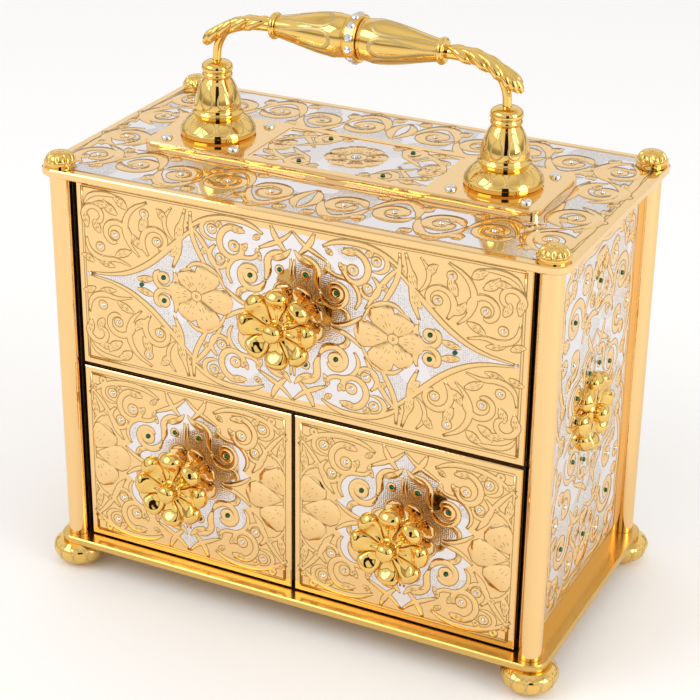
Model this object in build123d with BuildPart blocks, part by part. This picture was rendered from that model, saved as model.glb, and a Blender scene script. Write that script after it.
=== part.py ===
from build123d import *
import os

# Three-drawer casket with corner columns, bun feet and a carrying handle.
# Units are millimetres. +Z is up, the drawers open towards -Y, and the origin is on
# the surface the feet stand on, in the middle of the casket's footprint.

os.makedirs("parts", exist_ok=True)

# ---- case ----------------------------------------------------------------------
plate_length = 240.0          # base and top plate, along X
plate_depth = 133.0           # base and top plate, along Y
plate_thickness = 3.5
plate_corner_radius = 8.0
plate_edge_break = 0.5
column_length = 177.5         # clear height between the two plates
column_radius = 5.0
column_inset = 8.0            # column axis from both edges of the plate
panel_thickness = 2.5
panel_gap = 0.1               # panel edge to column
case_wall = 5.0               # stained wooden inner case
case_back = 4.0
case_floor = 2.5
case_column_gap = 0.3
shelf_thickness = 3.0
divider_thickness = 3.0
shelf_front_gap = 0.5         # shelf edge to the back of the drawer fronts

# ---- feet, tie rods and corner cap nuts -----------------------------------------
foot_height = 12.0
foot_radius = 12.5
foot_seat_radius = 6.5
foot_top_radius = 9.5
foot_belly_height = 6.2
rod_radius = 2.0
rod_gap = 0.2                 # rod to the holes in plates and columns
thread_gap = 0.05             # rod or stud to a tapped hole
rod_in_foot = 7.0
rod_in_cap = 3.2
cap_rim_radius = 7.1
cap_seat_radius = 6.4
cap_height = 6.4

# ---- drawers ---------------------------------------------------------------------
front_thickness = 3.0
front_setback = 7.5           # drawer faces behind the plate's front edge
front_side_gap = 2.5          # drawer front to column
front_edge_gap = 0.75         # drawer fronts to base and top plate
front_row_gap = 1.8           # between upper and lower fronts
front_pair_gap = 1.7          # between the two lower fronts
lower_front_height = 86.5
tray_wall = 3.0
tray_floor = 2.5
tray_side_gap = 0.5
tray_under_gap = 0.4
tray_top_gap = 5.0
tray_back_gap = 1.0
lining_gap = 0.3
lining_thickness = 1.5
lining_below_rim = 2.0
drawer_break = 0.4

# ---- drawer knobs and side rosettes ---------------------------------------------
petal_count = 8
petal_tip_radius = 18.2       # rosette axis to petal tip
petal_half_width = 4.4
petal_widest_at = 13.4
petal_root_at = 3.0
petal_root_half_width = 1.6
petal_axis_height = 2.0       # petal centre line above the rosette's back
hub_radius = 5.2
hub_height = 3.6
ball_radius = 4.0
ball_height = 6.5             # ball centre above the rosette's back
stem_length = 11.5            # drawer face to the rosette's back
stem_radius = 2.8
stem_foot_radius = 4.6
stem_foot_height = 1.4
stem_foot_taper = 1.0
stud_radius = 2.0
sepal_count = 10
sepal_radius = 8.6            # knob axis to sepal tip
sepal_half_width = 1.9
sepal_ring_width = 1.4
sepal_thickness = 1.2
sepal_gap = 0.1
side_screw_radius = 1.5

# ---- stones ----------------------------------------------------------------------
stone_radius = 1.15
stone_height = 0.9
insert_stone_pitch_x = 39.4   # four stones on the handle plate's insert
insert_stone_pitch_y = 30.6
insert_crystal_radius = 1.5

# ---- handle ----------------------------------------------------------------------
handle_plate_length = 184.0
handle_plate_depth = 49.0
handle_plate_thickness = 3.2
handle_plate_corner = 4.5
handle_plate_break = 0.6
insert_length = 84.0
insert_depth = 41.0
insert_thickness = 0.8
insert_corner = 1.5
insert_gap = 0.1
insert_sink = 0.2             # insert's face below the plate's face
handle_span = 135.0           # between the two pedestal axes
screw_pitch = 33.0            # square of screws round each pedestal
screw_head_radius = 2.6
screw_head_height = 1.8
screw_radius = 1.25
pedestal_height = 33.4
pedestal_skirt_radius = 16.7
pedestal_rim_radius = 11.4
pedestal_bell_radius = 10.3
pedestal_neck_radius = 6.1
pedestal_cap_radius = 6.9
pedestal_skirt_edge = 2.4     # heights above the handle plate
pedestal_skirt_top = 8.6
pedestal_rim_bottom = 9.2
pedestal_rim_top = 11.2
pedestal_bell_bottom = 12.2
pedestal_shoulder = 21.8
pedestal_neck = 25.6
pedestal_bead_top = 28.3
pedestal_cap_edge = 29.4
arm_radius = 1.95
arm_bend = 17.5
leaf_radius = 3.3
leaf_tip_reach = 6.2          # leaf tip outside the pedestal axis
leaf_half_thickness = 1.6
leaf_root_height = 52.0       # leaf tip's root and end above the top plate
leaf_tip_height = 43.0
grip_height = 55.5            # grip axis above the top plate
grip_length = 74.4            # both barrels and the centre ring
barrel_radius = 9.4
barrel_end_radius = 4.6
barrel_ring_end_radius = 8.8
collar_radius = 5.9
collar_width = 3.2
ring_radius = 10.2
ring_width = 5.2
crystal_count = 12
crystal_radius = 1.75
crystal_seat = 1.0
crystal_stand = 0.35
grip_rod_inset = 0.4          # core rod's end inside the collar's face
arm_end_gap = 0.1             # arm's end to the collar's face
nut_flats = 7.0
nut_height = 3.0

# ---- places worked out from the sizes above -------------------------------------
column_x = plate_length / 2 - column_inset
column_y = plate_depth / 2 - column_inset
base_bottom = foot_height
base_top = base_bottom + plate_thickness
top_bottom = base_top + column_length
top_top = top_bottom + plate_thickness

face_y = plate_depth / 2 - front_setback
knob_reach = stem_length + ball_height + ball_radius
mid_y = ((face_y + knob_reach) - (column_y + foot_radius)) / 2

panel_inside_x = column_x - panel_thickness
panel_half_depth = column_y - column_radius - panel_gap
back_inside_y = column_y - panel_thickness
back_half_width = column_x - column_radius - panel_gap
case_half_depth = column_y - column_radius - case_column_gap
case_inside_x = panel_inside_x - case_wall
case_inside_back = back_inside_y - case_back
front_half_width = column_x - column_radius - front_side_gap
front_back_y = face_y - front_thickness

lower_front_bottom = base_top + front_edge_gap
lower_front_top = lower_front_bottom + lower_front_height
upper_front_bottom = lower_front_top + front_row_gap
upper_front_top = top_bottom - front_edge_gap
shelf_middle = (lower_front_top + upper_front_bottom) / 2
shelf_bottom = shelf_middle - shelf_thickness / 2
shelf_top = shelf_middle + shelf_thickness / 2
bay_floor = base_top + case_floor

corners = {
    "front_left": (-column_x, -column_y),
    "front_right": (column_x, -column_y),
    "back_left": (-column_x, column_y),
    "back_right": (column_x, column_y),
}


def level(z, x=0.0, y=0.0):
    """Horizontal plane at height z, centred on the case or on a point of it."""
    return Plane(origin=(x, mid_y + y, z), x_dir=(1, 0, 0), z_dir=(0, 0, 1))


def upright(x, y, z):
    """Upright plane through (x, y, z) that faces -Y; its local X is +X and local Y is up."""
    return Plane(origin=(x, mid_y + y, z), x_dir=(1, 0, 0), z_dir=(0, -1, 0))


def spindle(x, y, z=0.0):
    """Vertical axis through a point of the case."""
    return Axis((x, mid_y + y, z), (0, 0, 1))


def save(part, node):
    part.label = node
    export_step(part, f"parts/{node}.step")


# ---- plates ----------------------------------------------------------------------
screw_spots = [
    (side * handle_span / 2 + dx * screw_pitch / 2, dy * screw_pitch / 2)
    for side in (-1, 1)
    for dx in (-1, 1)
    for dy in (-1, 1)
]
stud_spots = [(-handle_span / 2, 0), (handle_span / 2, 0)]


def make_base_plate():
    with BuildPart() as base_plate:
        with BuildSketch(level(base_bottom)):
            RectangleRounded(plate_length, plate_depth, plate_corner_radius)
            with Locations(*corners.values()):
                Circle(rod_radius + rod_gap, mode=Mode.SUBTRACT)
        extrude(amount=plate_thickness)
        rims = base_plate.faces().filter_by(Axis.Z)
        outer = [face.outer_wire().edges() for face in rims]
        chamfer(outer[0] + outer[1], plate_edge_break)
    save(base_plate.part, "base_plate")


def make_top_plate():
    with BuildPart() as top_plate:
        with BuildSketch(level(top_bottom)):
            RectangleRounded(plate_length, plate_depth, plate_corner_radius)
            with Locations(*corners.values()):
                Circle(rod_radius + rod_gap, mode=Mode.SUBTRACT)
            with Locations(*screw_spots):
                Circle(screw_radius + thread_gap, mode=Mode.SUBTRACT)
            with Locations(*stud_spots):
                Circle(arm_radius + rod_gap, mode=Mode.SUBTRACT)
        extrude(amount=plate_thickness)
        rims = top_plate.faces().filter_by(Axis.Z)
        outer = [face.outer_wire().edges() for face in rims]
        chamfer(outer[0] + outer[1], plate_edge_break)
    save(top_plate.part, "top_plate")


# ---- columns, rods, feet and cap nuts --------------------------------------------
def make_column(corner):
    x, y = corners[corner]
    with BuildPart() as column:
        with BuildSketch(level(base_top, x, y)):
            Circle(column_radius)
            Circle(rod_radius + rod_gap, mode=Mode.SUBTRACT)
        extrude(amount=column_length)
    save(column.part, f"column_{corner}")


def make_tie_rods():
    rod_bottom = base_bottom - rod_in_foot
    with BuildPart() as tie_rods:
        with BuildSketch(level(rod_bottom)):
            with Locations(*corners.values()):
                Circle(rod_radius)
        extrude(amount=top_top + rod_in_cap - rod_bottom)
    save(tie_rods.part, "tie_rods")


def make_foot(corner):
    """Bun foot, tapped from above for the tie rod."""
    x, y = corners[corner]
    belly = (foot_radius, foot_belly_height)
    low_mid = (foot_seat_radius + (foot_radius - foot_seat_radius) * 0.82, foot_belly_height * 0.42)
    high_mid = (foot_radius - (foot_radius - foot_top_radius) * 0.22, foot_belly_height + 3.2)
    with BuildPart() as foot:
        with BuildSketch(upright(x, y, 0)):
            with BuildLine():
                Line((0, 0), (foot_seat_radius, 0))
                ThreePointArc((foot_seat_radius, 0), low_mid, belly)
                ThreePointArc(belly, high_mid, (foot_top_radius, foot_height))
                Line((foot_top_radius, foot_height), (0, foot_height))
                Line((0, foot_height), (0, 0))
            make_face()
        revolve(axis=spindle(x, y))
        with BuildSketch(level(base_bottom - rod_in_foot, x, y)):
            Circle(rod_radius + thread_gap)
        extrude(amount=rod_in_foot, mode=Mode.SUBTRACT)
    save(foot.part, f"foot_{corner}")


def cap_nut(x, y):
    """Domed corner rosette that closes the top of a tie rod."""
    seat_height = 0.9
    groove_top = 1.3
    rim_top = 2.1
    dome_radius = cap_seat_radius
    button_radius = 1.4
    with BuildPart() as cap:
        with BuildSketch(upright(x, y, top_top)):
            with BuildLine():
                Polyline(
                    (0, 0),
                    (cap_seat_radius, 0),
                    (cap_seat_radius, seat_height),
                    (cap_seat_radius - 0.5, groove_top),
                    (cap_rim_radius, groove_top),
                    (cap_rim_radius, rim_top),
                    (dome_radius, rim_top),
                )
                ThreePointArc(
                    (dome_radius, rim_top),
                    (dome_radius * 0.78, cap_height * 0.72),
                    (button_radius, cap_height - 0.5),
                )
                Polyline(
                    (button_radius, cap_height - 0.5),
                    (button_radius * 0.8, cap_height),
                    (0, cap_height),
                    (0, 0),
                )
            make_face()
        revolve(axis=spindle(x, y))
        with BuildSketch(level(top_top, x, y)):
            Circle(rod_radius + thread_gap)
        extrude(amount=rod_in_cap, mode=Mode.SUBTRACT)
    return cap.part


def make_corner_rosettes():
    with BuildPart() as corner_rosettes:
        for x, y in corners.values():
            add(cap_nut(x, y))
    save(corner_rosettes.part, "corner_rosettes")


# ---- panels and wooden case -------------------------------------------------------
def make_side_panel(side, node):
    """Engraved side plate, outer face in line with the column axes."""
    middle_x = side * (column_x - panel_thickness / 2)
    screw_plane = Plane(
        origin=(side * column_x, mid_y, base_top + column_length / 2),
        x_dir=(0, 1, 0),
        z_dir=(-side, 0, 0),
    )
    with BuildPart() as panel:
        with BuildSketch(level(base_top, middle_x)):
            Rectangle(panel_thickness, 2 * panel_half_depth)
        extrude(amount=column_length)
        with BuildSketch(screw_plane):
            Circle(side_screw_radius + thread_gap)
        extrude(amount=panel_thickness, mode=Mode.SUBTRACT)
    save(panel.part, node)


def make_back_panel():
    with BuildPart() as back_panel:
        with BuildSketch(level(base_top, 0, column_y - panel_thickness / 2)):
            Rectangle(2 * back_half_width, panel_thickness)
        extrude(amount=column_length)
    save(back_panel.part, "back_panel")


def make_inner_case():
    """Floor, sides and back of the stained wooden case, open at the front."""
    back_reach = back_inside_y - case_half_depth
    with BuildPart() as inner_case:
        with BuildSketch(level(base_top)):
            Rectangle(2 * panel_inside_x, 2 * case_half_depth)
            with Locations((0, case_half_depth + back_reach / 2)):
                Rectangle(2 * (back_half_width - case_column_gap), back_reach)
        extrude(amount=column_length)
        inside_depth = case_half_depth + case_inside_back
        inside_middle = (case_inside_back - case_half_depth) / 2
        with BuildSketch(level(bay_floor, 0, inside_middle)):
            Rectangle(2 * case_inside_x, inside_depth)
        extrude(amount=column_length - case_floor, mode=Mode.SUBTRACT)
    save(inner_case.part, "inner_case")


def make_shelf():
    shelf_front = front_back_y - shelf_front_gap
    shelf_depth = shelf_front + case_inside_back
    with BuildPart() as shelf_divider:
        with BuildSketch(level(shelf_bottom, 0, (case_inside_back - shelf_front) / 2)):
            Rectangle(2 * case_inside_x, shelf_depth)
        extrude(amount=shelf_thickness)
    save(shelf_divider.part, "shelf_divider")


def make_centre_divider():
    divider_front = front_back_y - shelf_front_gap
    floor_depth = case_half_depth + case_inside_back
    front_strip = divider_front - case_half_depth
    with BuildPart() as centre_divider:
        with BuildSketch(level(bay_floor, 0, (case_inside_back - case_half_depth) / 2)):
            Rectangle(divider_thickness, floor_depth)
        extrude(amount=shelf_bottom - bay_floor)
        with BuildSketch(level(bay_floor, 0, -case_half_depth - front_strip / 2)):
            Rectangle(divider_thickness, front_strip)
        extrude(amount=shelf_bottom - bay_floor)
    save(centre_divider.part, "centre_divider")


# ---- rosette shared by the knobs and the side ornaments ---------------------------
def make_rosette_body():
    """Eight spoon-shaped petals, hub and ball, back face on XY, axis +Z."""
    with BuildPart() as petal:
        with BuildSketch(Plane.XY.offset(petal_axis_height)):
            with BuildLine():
                Spline(
                    (petal_root_at, petal_root_half_width),
                    (petal_widest_at * 0.7, petal_half_width * 0.78),
                    (petal_widest_at, petal_half_width),
                    (petal_tip_radius - 1.2, petal_half_width * 0.56),
                    (petal_tip_radius, 0),
                    tangents=[(1, 0.05), (0, -1)],
                )
                Polyline(
                    (petal_tip_radius, 0), (petal_root_at, 0), (petal_root_at, petal_root_half_width)
                )
            make_face()
        revolve(axis=Axis((0, 0, petal_axis_height), (1, 0, 0)))
        split(bisect_by=Plane.XY, keep=Keep.TOP)
    with BuildPart() as rosette:
        with BuildSketch(Plane.XZ):
            with BuildLine():
                ball_seat = (ball_radius**2 - (ball_height - hub_height) ** 2) ** 0.5
                Polyline((0, 0), (hub_radius, 0), (hub_radius * 0.86, hub_height), (ball_seat, hub_height))
                ThreePointArc(
                    (ball_seat, hub_height), (ball_radius, ball_height), (0, ball_height + ball_radius)
                )
                Line((0, ball_height + ball_radius), (0, 0))
            make_face()
        revolve(axis=Axis.Z)
        with PolarLocations(0, petal_count):
            add(petal.part)
    return rosette.part


rosette_body = make_rosette_body()


def place_on(part, plane):
    """A copy of a part that was drawn on XY, moved onto another plane."""
    return plane.from_local_coords(part)


# ---- drawers ----------------------------------------------------------------------
def make_front(name, left, right, bottom, top):
    middle_x = (left + right) / 2
    middle_z = (bottom + top) / 2
    with BuildPart() as front:
        with BuildSketch(upright(middle_x, -front_back_y, middle_z)):
            Rectangle(right - left, top - bottom)
        extrude(amount=front_thickness)
        chamfer(front.faces().sort_by(Axis.Y)[0].outer_wire().edges(), drawer_break)
        with BuildSketch(upright(middle_x, -front_back_y, middle_z)):
            Circle(stud_radius + thread_gap)
        extrude(amount=front_thickness, mode=Mode.SUBTRACT)
    save(front.part, f"{name}_front")


def make_tray(name, left, right, bottom, top, knob_x, knob_z):
    """Open box behind the drawer front."""
    back = case_inside_back - tray_back_gap
    depth = back + front_back_y
    middle = ((left + right) / 2, (back - front_back_y) / 2)
    with BuildPart() as tray:
        with BuildSketch(level(bottom, *middle)):
            Rectangle(right - left, depth)
        extrude(amount=top - bottom)
        with BuildSketch(level(bottom + tray_floor, *middle)):
            Rectangle(right - left - 2 * tray_wall, depth - 2 * tray_wall)
        extrude(amount=top - bottom, mode=Mode.SUBTRACT)
        with BuildSketch(upright(knob_x, tray_wall - front_back_y, knob_z)):
            Circle(stud_radius + thread_gap)
        extrude(amount=tray_wall, mode=Mode.SUBTRACT)
    save(tray.part, f"{name}_tray")


def make_lining(name, left, right, bottom, top):
    """Velvet lining, a thin open box inside the tray."""
    back = case_inside_back - tray_back_gap - tray_wall - lining_gap
    depth = back + front_back_y - tray_wall - lining_gap
    width = right - left - 2 * (tray_wall + lining_gap)
    middle = ((left + right) / 2, back - depth / 2)
    low = bottom + tray_floor + lining_gap
    high = top - lining_below_rim
    with BuildPart() as lining:
        with BuildSketch(level(low, *middle)):
            Rectangle(width, depth)
        extrude(amount=high - low)
        with BuildSketch(level(low + lining_thickness, *middle)):
            Rectangle(width - 2 * lining_thickness, depth - 2 * lining_thickness)
        extrude(amount=high - low, mode=Mode.SUBTRACT)
    save(lining.part, f"{name}_lining")


def make_knob(name, x, z):
    """Stem screwed into the drawer, calyx on the face and the petalled rosette."""
    knob_axis = Axis((x, mid_y - face_y, z), (0, -1, 0))
    side_plane = Plane(origin=(x, mid_y - face_y, z), x_dir=(1, 0, 0), z_dir=(0, 0, 1))
    stud_depth = front_thickness + tray_wall - lining_gap
    with BuildPart() as stem:
        with BuildSketch(side_plane):
            with BuildLine():
                Polyline(
                    (0, stud_depth),
                    (stud_radius, stud_depth),
                    (stud_radius, 0),
                    (stem_foot_radius, 0),
                    (stem_foot_radius, -stem_foot_height),
                    (stem_radius, -stem_foot_height - stem_foot_taper),
                    (stem_radius, -stem_length),
                    (0, -stem_length),
                    (0, stud_depth),
                )
            make_face()
        revolve(axis=knob_axis)
    save(stem.part, f"{name}_knob_stem")

    sepal_base = stem_foot_radius - 1.0
    sepal_leaf = ((sepal_base, -sepal_half_width), (sepal_radius, 0), (sepal_base, sepal_half_width))
    with BuildPart() as sepals:
        with BuildSketch(upright(x, -face_y, z)):
            Circle(stem_foot_radius + sepal_ring_width)
            with PolarLocations(0, sepal_count):
                Polygon(*sepal_leaf, align=None)
            Circle(stem_foot_radius + sepal_gap, mode=Mode.SUBTRACT)
        extrude(amount=sepal_thickness)
    save(sepals.part, f"{name}_knob_sepals")

    rosette_plane = upright(x, -face_y - stem_length, z)
    save(place_on(rosette_body, rosette_plane), f"{name}_knob_rosette")


def make_stones(node, x, z, spots, stretch_x, stretch_z):
    """Round stones standing on the drawer face, mirrored left to right and top to bottom."""
    mirrored = sorted(
        {
            (sx * u * stretch_x, sz * v * stretch_z)
            for u, v in spots
            for sx in (-1, 1)
            for sz in (-1, 1)
        }
    )
    with BuildPart() as stones:
        with BuildSketch(upright(x, -face_y, z)):
            with Locations(*mirrored):
                Circle(stone_radius)
        extrude(amount=stone_height)
    save(stones.part, node)


# Stones are given in one quarter of the drawer front, from its centre, for a front of the
# drawn size, and they move apart or together with a front of another size.
drawn_upper_front = (209.0, 87.7)
drawn_lower_front = (103.65, 86.5)
medallion_green = [(20.0, 15.0), (6.0, 20.4)]
corner_clear = [(37.8, 32.5), (27.4, 26.8), (34.0, 20.0)]
field_green = [(62.0, 5.4), (73.0, 0.0)]
field_clear = [(70.6, 33.0), (64.8, 21.3), (85.5, 20.6), (93.2, 13.8), (99.4, 0.0)]

drawers = {
    "upper": {
        "front": (-front_half_width, front_half_width, upper_front_bottom, upper_front_top),
        "bay": (-case_inside_x, case_inside_x, shelf_top, top_bottom),
        "green": medallion_green + field_green,
        "clear": corner_clear + field_clear,
        "drawn": drawn_upper_front,
    },
    "lower_left": {
        "front": (-front_half_width, -front_pair_gap / 2, lower_front_bottom, lower_front_top),
        "bay": (-case_inside_x, -divider_thickness / 2, bay_floor, shelf_bottom),
        "green": medallion_green,
        "clear": corner_clear,
        "drawn": drawn_lower_front,
    },
    "lower_right": {
        "front": (front_pair_gap / 2, front_half_width, lower_front_bottom, lower_front_top),
        "bay": (divider_thickness / 2, case_inside_x, bay_floor, shelf_bottom),
        "green": medallion_green,
        "clear": corner_clear,
        "drawn": drawn_lower_front,
    },
}


def make_drawer(name):
    left, right, bottom, top = drawers[name]["front"]
    bay_left, bay_right, bay_bottom, bay_top = drawers[name]["bay"]
    knob_x = (left + right) / 2
    knob_z = (bottom + top) / 2
    tray_left = bay_left + tray_side_gap
    tray_right = bay_right - tray_side_gap
    tray_bottom = bay_bottom + tray_under_gap
    tray_top = bay_top - tray_top_gap
    make_front(name, left, right, bottom, top)
    make_tray(name, tray_left, tray_right, tray_bottom, tray_top, knob_x, knob_z)
    make_lining(name, tray_left, tray_right, tray_bottom, tray_top)
    make_knob(name, knob_x, knob_z)
    drawn_width, drawn_height = drawers[name]["drawn"]
    stretch_x = (right - left) / drawn_width
    stretch_z = (top - bottom) / drawn_height
    for colour in ("green", "clear"):
        spots = drawers[name][colour]
        make_stones(f"{name}_{colour}_stones", knob_x, knob_z, spots, stretch_x, stretch_z)


def make_side_rosette(side, node):
    """The same rosette, screwed flat against the middle of a side panel."""
    plane = Plane(
        origin=(side * column_x, mid_y, base_top + column_length / 2),
        x_dir=(0, side, 0),
        z_dir=(side, 0, 0),
    )
    with BuildPart() as rosette:
        add(place_on(rosette_body, plane))
        with BuildSketch(plane):
            Circle(side_screw_radius)
        extrude(amount=-(panel_thickness - lining_gap))
    save(rosette.part, node)


# ---- handle -----------------------------------------------------------------------
plate_top = top_top + handle_plate_thickness
pocket_depth = insert_thickness + insert_sink
insert_floor = plate_top - pocket_depth
insert_face = insert_floor + insert_thickness
grip_z = top_top + grip_height
pedestal_top = plate_top + pedestal_height


def make_handle_plate():
    with BuildPart() as handle_plate:
        with BuildSketch(level(top_top)):
            RectangleRounded(handle_plate_length, handle_plate_depth, handle_plate_corner)
        extrude(amount=handle_plate_thickness)
        chamfer(handle_plate.faces().sort_by(Axis.Z)[-1].outer_wire().edges(), handle_plate_break)
        with BuildSketch(level(insert_floor)):
            RectangleRounded(insert_length, insert_depth, insert_corner)
        extrude(amount=pocket_depth, mode=Mode.SUBTRACT)
        with BuildSketch(level(top_top)):
            with Locations(*screw_spots):
                Circle(screw_radius + rod_gap)
            with Locations(*stud_spots):
                Circle(arm_radius + rod_gap)
        extrude(amount=handle_plate_thickness, mode=Mode.SUBTRACT)
    save(handle_plate.part, "handle_plate")


def make_handle_insert():
    with BuildPart() as handle_insert:
        with BuildSketch(level(insert_floor)):
            RectangleRounded(
                insert_length - 2 * insert_gap, insert_depth - 2 * insert_gap, insert_corner
            )
        extrude(amount=insert_thickness)
    save(handle_insert.part, "handle_insert")


def make_insert_stones():
    with BuildPart() as insert_stones:
        with BuildSketch(level(insert_face)):
            with GridLocations(insert_stone_pitch_x, insert_stone_pitch_y, 2, 2):
                Circle(stone_radius)
        extrude(amount=stone_height)
    save(insert_stones.part, "insert_stones")

    with BuildPart() as insert_crystal:
        with BuildSketch(level(insert_face)):
            Circle(insert_crystal_radius)
        extrude(amount=stone_height)
    save(insert_crystal.part, "insert_crystal")


def dome_screw(x, y):
    """Dome-head screw through the handle plate into the tapped top plate."""
    shank_length = handle_plate_thickness + plate_thickness - rod_gap
    head_edge = 0.3
    rise = screw_head_height - head_edge
    dome_radius = (screw_head_radius**2 + rise**2) / (2 * rise)
    with BuildPart() as screw:
        with BuildSketch(upright(x, y, plate_top)):
            with BuildLine():
                Polyline(
                    (0, -shank_length),
                    (screw_radius, -shank_length),
                    (screw_radius, 0),
                    (screw_head_radius, 0),
                    (screw_head_radius, head_edge),
                )
                RadiusArc((screw_head_radius, head_edge), (0, screw_head_height), -dome_radius)
                Line((0, screw_head_height), (0, -shank_length))
            make_face()
        revolve(axis=spindle(x, y))
    return screw.part


def make_plate_screws():
    with BuildPart() as plate_screws:
        for x, y in screw_spots:
            add(dome_screw(x, y))
    save(plate_screws.part, "plate_screws")


def make_pedestal(side, node):
    """Turned pedestal: skirt, rim, bell, neck and domed cap, bored for the arm's stud."""
    x = side * handle_span / 2
    bore = arm_radius + rod_gap
    skirt = pedestal_skirt_radius
    rim = pedestal_rim_radius
    rim_corner = rim - 0.6
    bell = pedestal_bell_radius
    neck = pedestal_neck_radius
    cap = pedestal_cap_radius
    skirt_belly = (skirt * 0.85, (pedestal_skirt_edge + pedestal_skirt_top) * 0.53)
    rim_crown = (rim, (pedestal_rim_bottom + pedestal_rim_top) / 2)
    bell_belly = (bell * 0.9, pedestal_bell_bottom * 0.4 + pedestal_shoulder * 0.6)
    bead_crown = (neck + 0.7, (pedestal_neck + pedestal_bead_top) / 2)
    cap_belly = (cap * 0.8, pedestal_cap_edge * 0.4 + pedestal_height * 0.6)
    with BuildPart() as pedestal:
        with BuildSketch(upright(x, 0, plate_top)):
            with BuildLine():
                Polyline((bore, 0), (skirt - 0.7, 0), (skirt, 0.9), (skirt, pedestal_skirt_edge))
                ThreePointArc(
                    (skirt, pedestal_skirt_edge), skirt_belly, (bell, pedestal_skirt_top)
                )
                Line((bell, pedestal_skirt_top), (rim_corner, pedestal_rim_bottom))
                ThreePointArc(
                    (rim_corner, pedestal_rim_bottom), rim_crown, (rim_corner, pedestal_rim_top)
                )
                Line((rim_corner, pedestal_rim_top), (bell, pedestal_bell_bottom))
                ThreePointArc(
                    (bell, pedestal_bell_bottom), bell_belly, (bell * 0.78, pedestal_shoulder)
                )
                Line((bell * 0.78, pedestal_shoulder), (neck, pedestal_neck))
                ThreePointArc((neck, pedestal_neck), bead_crown, (neck, pedestal_bead_top))
                Line((neck, pedestal_bead_top), (cap, pedestal_cap_edge))
                ThreePointArc((cap, pedestal_cap_edge), cap_belly, (bore, pedestal_height))
                Line((bore, pedestal_height), (bore, 0))
            make_face()
        revolve(axis=spindle(x, 0))
    save(pedestal.part, node)


def make_arm(side, node):
    """Bent rod with its stud, the leaf sheath round the bend and the leaf's flared tip."""
    x = handle_span / 2
    collar_face = grip_length / 2 + collar_width
    bend_x = x - arm_bend
    sheath_end = collar_face + arm_end_gap - bend_x
    sheath_from = 18
    stud_end = top_bottom - nut_height - rod_gap
    tip_x = x + leaf_tip_reach
    with BuildPart() as arm:
        with BuildLine():
            FilletPolyline(
                (x, mid_y, stud_end),
                (x, mid_y, grip_z),
                (collar_face + arm_end_gap, mid_y, grip_z),
                radius=arm_bend,
            )
        with BuildSketch(level(stud_end, x)):
            Circle(arm_radius)
        sweep()
    with BuildPart() as sheath:
        with BuildLine():
            CenterArc((0, 0, 0), arm_bend, sheath_from, 90 - sheath_from)
            Line((0, arm_bend), (sheath_end, arm_bend))
        with BuildSketch(Plane(origin=(sheath_end, arm_bend, 0), z_dir=(1, 0, 0))):
            Circle(leaf_radius)
        sweep()
    bend_plane = Plane(
        origin=(bend_x, mid_y, grip_z - arm_bend), x_dir=(1, 0, 0), z_dir=(0, -1, 0)
    )
    with BuildPart() as whole:
        add(arm.part)
        add(place_on(sheath.part, bend_plane))
        with BuildSketch(upright(0, 0, top_top)):
            with BuildLine():
                Polyline(
                    (x - 2.5, leaf_root_height),
                    (x + 1.8, leaf_root_height - 3.0),
                    (tip_x - 1.5, leaf_tip_height + 2.6),
                    (tip_x, leaf_tip_height),
                    (tip_x - 2.2, leaf_tip_height - 0.2),
                    (x - 0.5, leaf_tip_height + 3.0),
                    close=True,
                )
            make_face()
        extrude(amount=leaf_half_thickness, both=True)
    if side > 0:
        save(whole.part, node)
    else:
        save(mirror(whole.part, about=Plane.YZ, mode=Mode.PRIVATE), node)


def make_handle_nuts():
    with BuildPart() as handle_nuts:
        with BuildSketch(level(top_bottom - nut_height)):
            with Locations(*stud_spots):
                RegularPolygon(nut_flats / 2, 6, major_radius=False)
                Circle(arm_radius + thread_gap, mode=Mode.SUBTRACT)
        extrude(amount=nut_height)
    save(handle_nuts.part, "handle_nuts")


grip_plane = Plane(origin=(0, mid_y, grip_z), x_dir=(1, 0, 0), z_dir=(0, -1, 0))
grip_axis = Axis((0, mid_y, grip_z), (1, 0, 0))


def make_grip_half(side, node):
    """Barrel-shaped half of the grip, threaded over the core rod."""
    bore = rod_radius + rod_gap
    inner = ring_width / 2
    outer = grip_length / 2
    long = outer - inner
    with BuildPart() as grip:
        with BuildSketch(grip_plane):
            with BuildLine():
                Line((side * inner, bore), (side * inner, barrel_ring_end_radius))
                Spline(
                    (side * inner, barrel_ring_end_radius),
                    (side * (inner + long * 0.2), barrel_radius),
                    (side * (inner + long * 0.6), (barrel_radius + barrel_end_radius) * 0.53),
                    (side * outer, barrel_end_radius),
                )
                Line((side * outer, barrel_end_radius), (side * outer, bore))
                Line((side * outer, bore), (side * inner, bore))
            make_face()
        revolve(axis=grip_axis)
    save(grip.part, node)


def make_grip_collars():
    bore = rod_radius + rod_gap
    middle = grip_length / 2 + collar_width / 2
    bead = collar_width / 2
    with BuildPart() as grip_collars:
        for side in (-1, 1):
            with BuildSketch(grip_plane):
                with Locations((side * middle, (bore + collar_radius - bead) / 2)):
                    Rectangle(collar_width, collar_radius - bead - bore)
                with Locations((side * middle, collar_radius - bead)):
                    Circle(bead)
            revolve(axis=grip_axis)
    save(grip_collars.part, "grip_collars")


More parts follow.
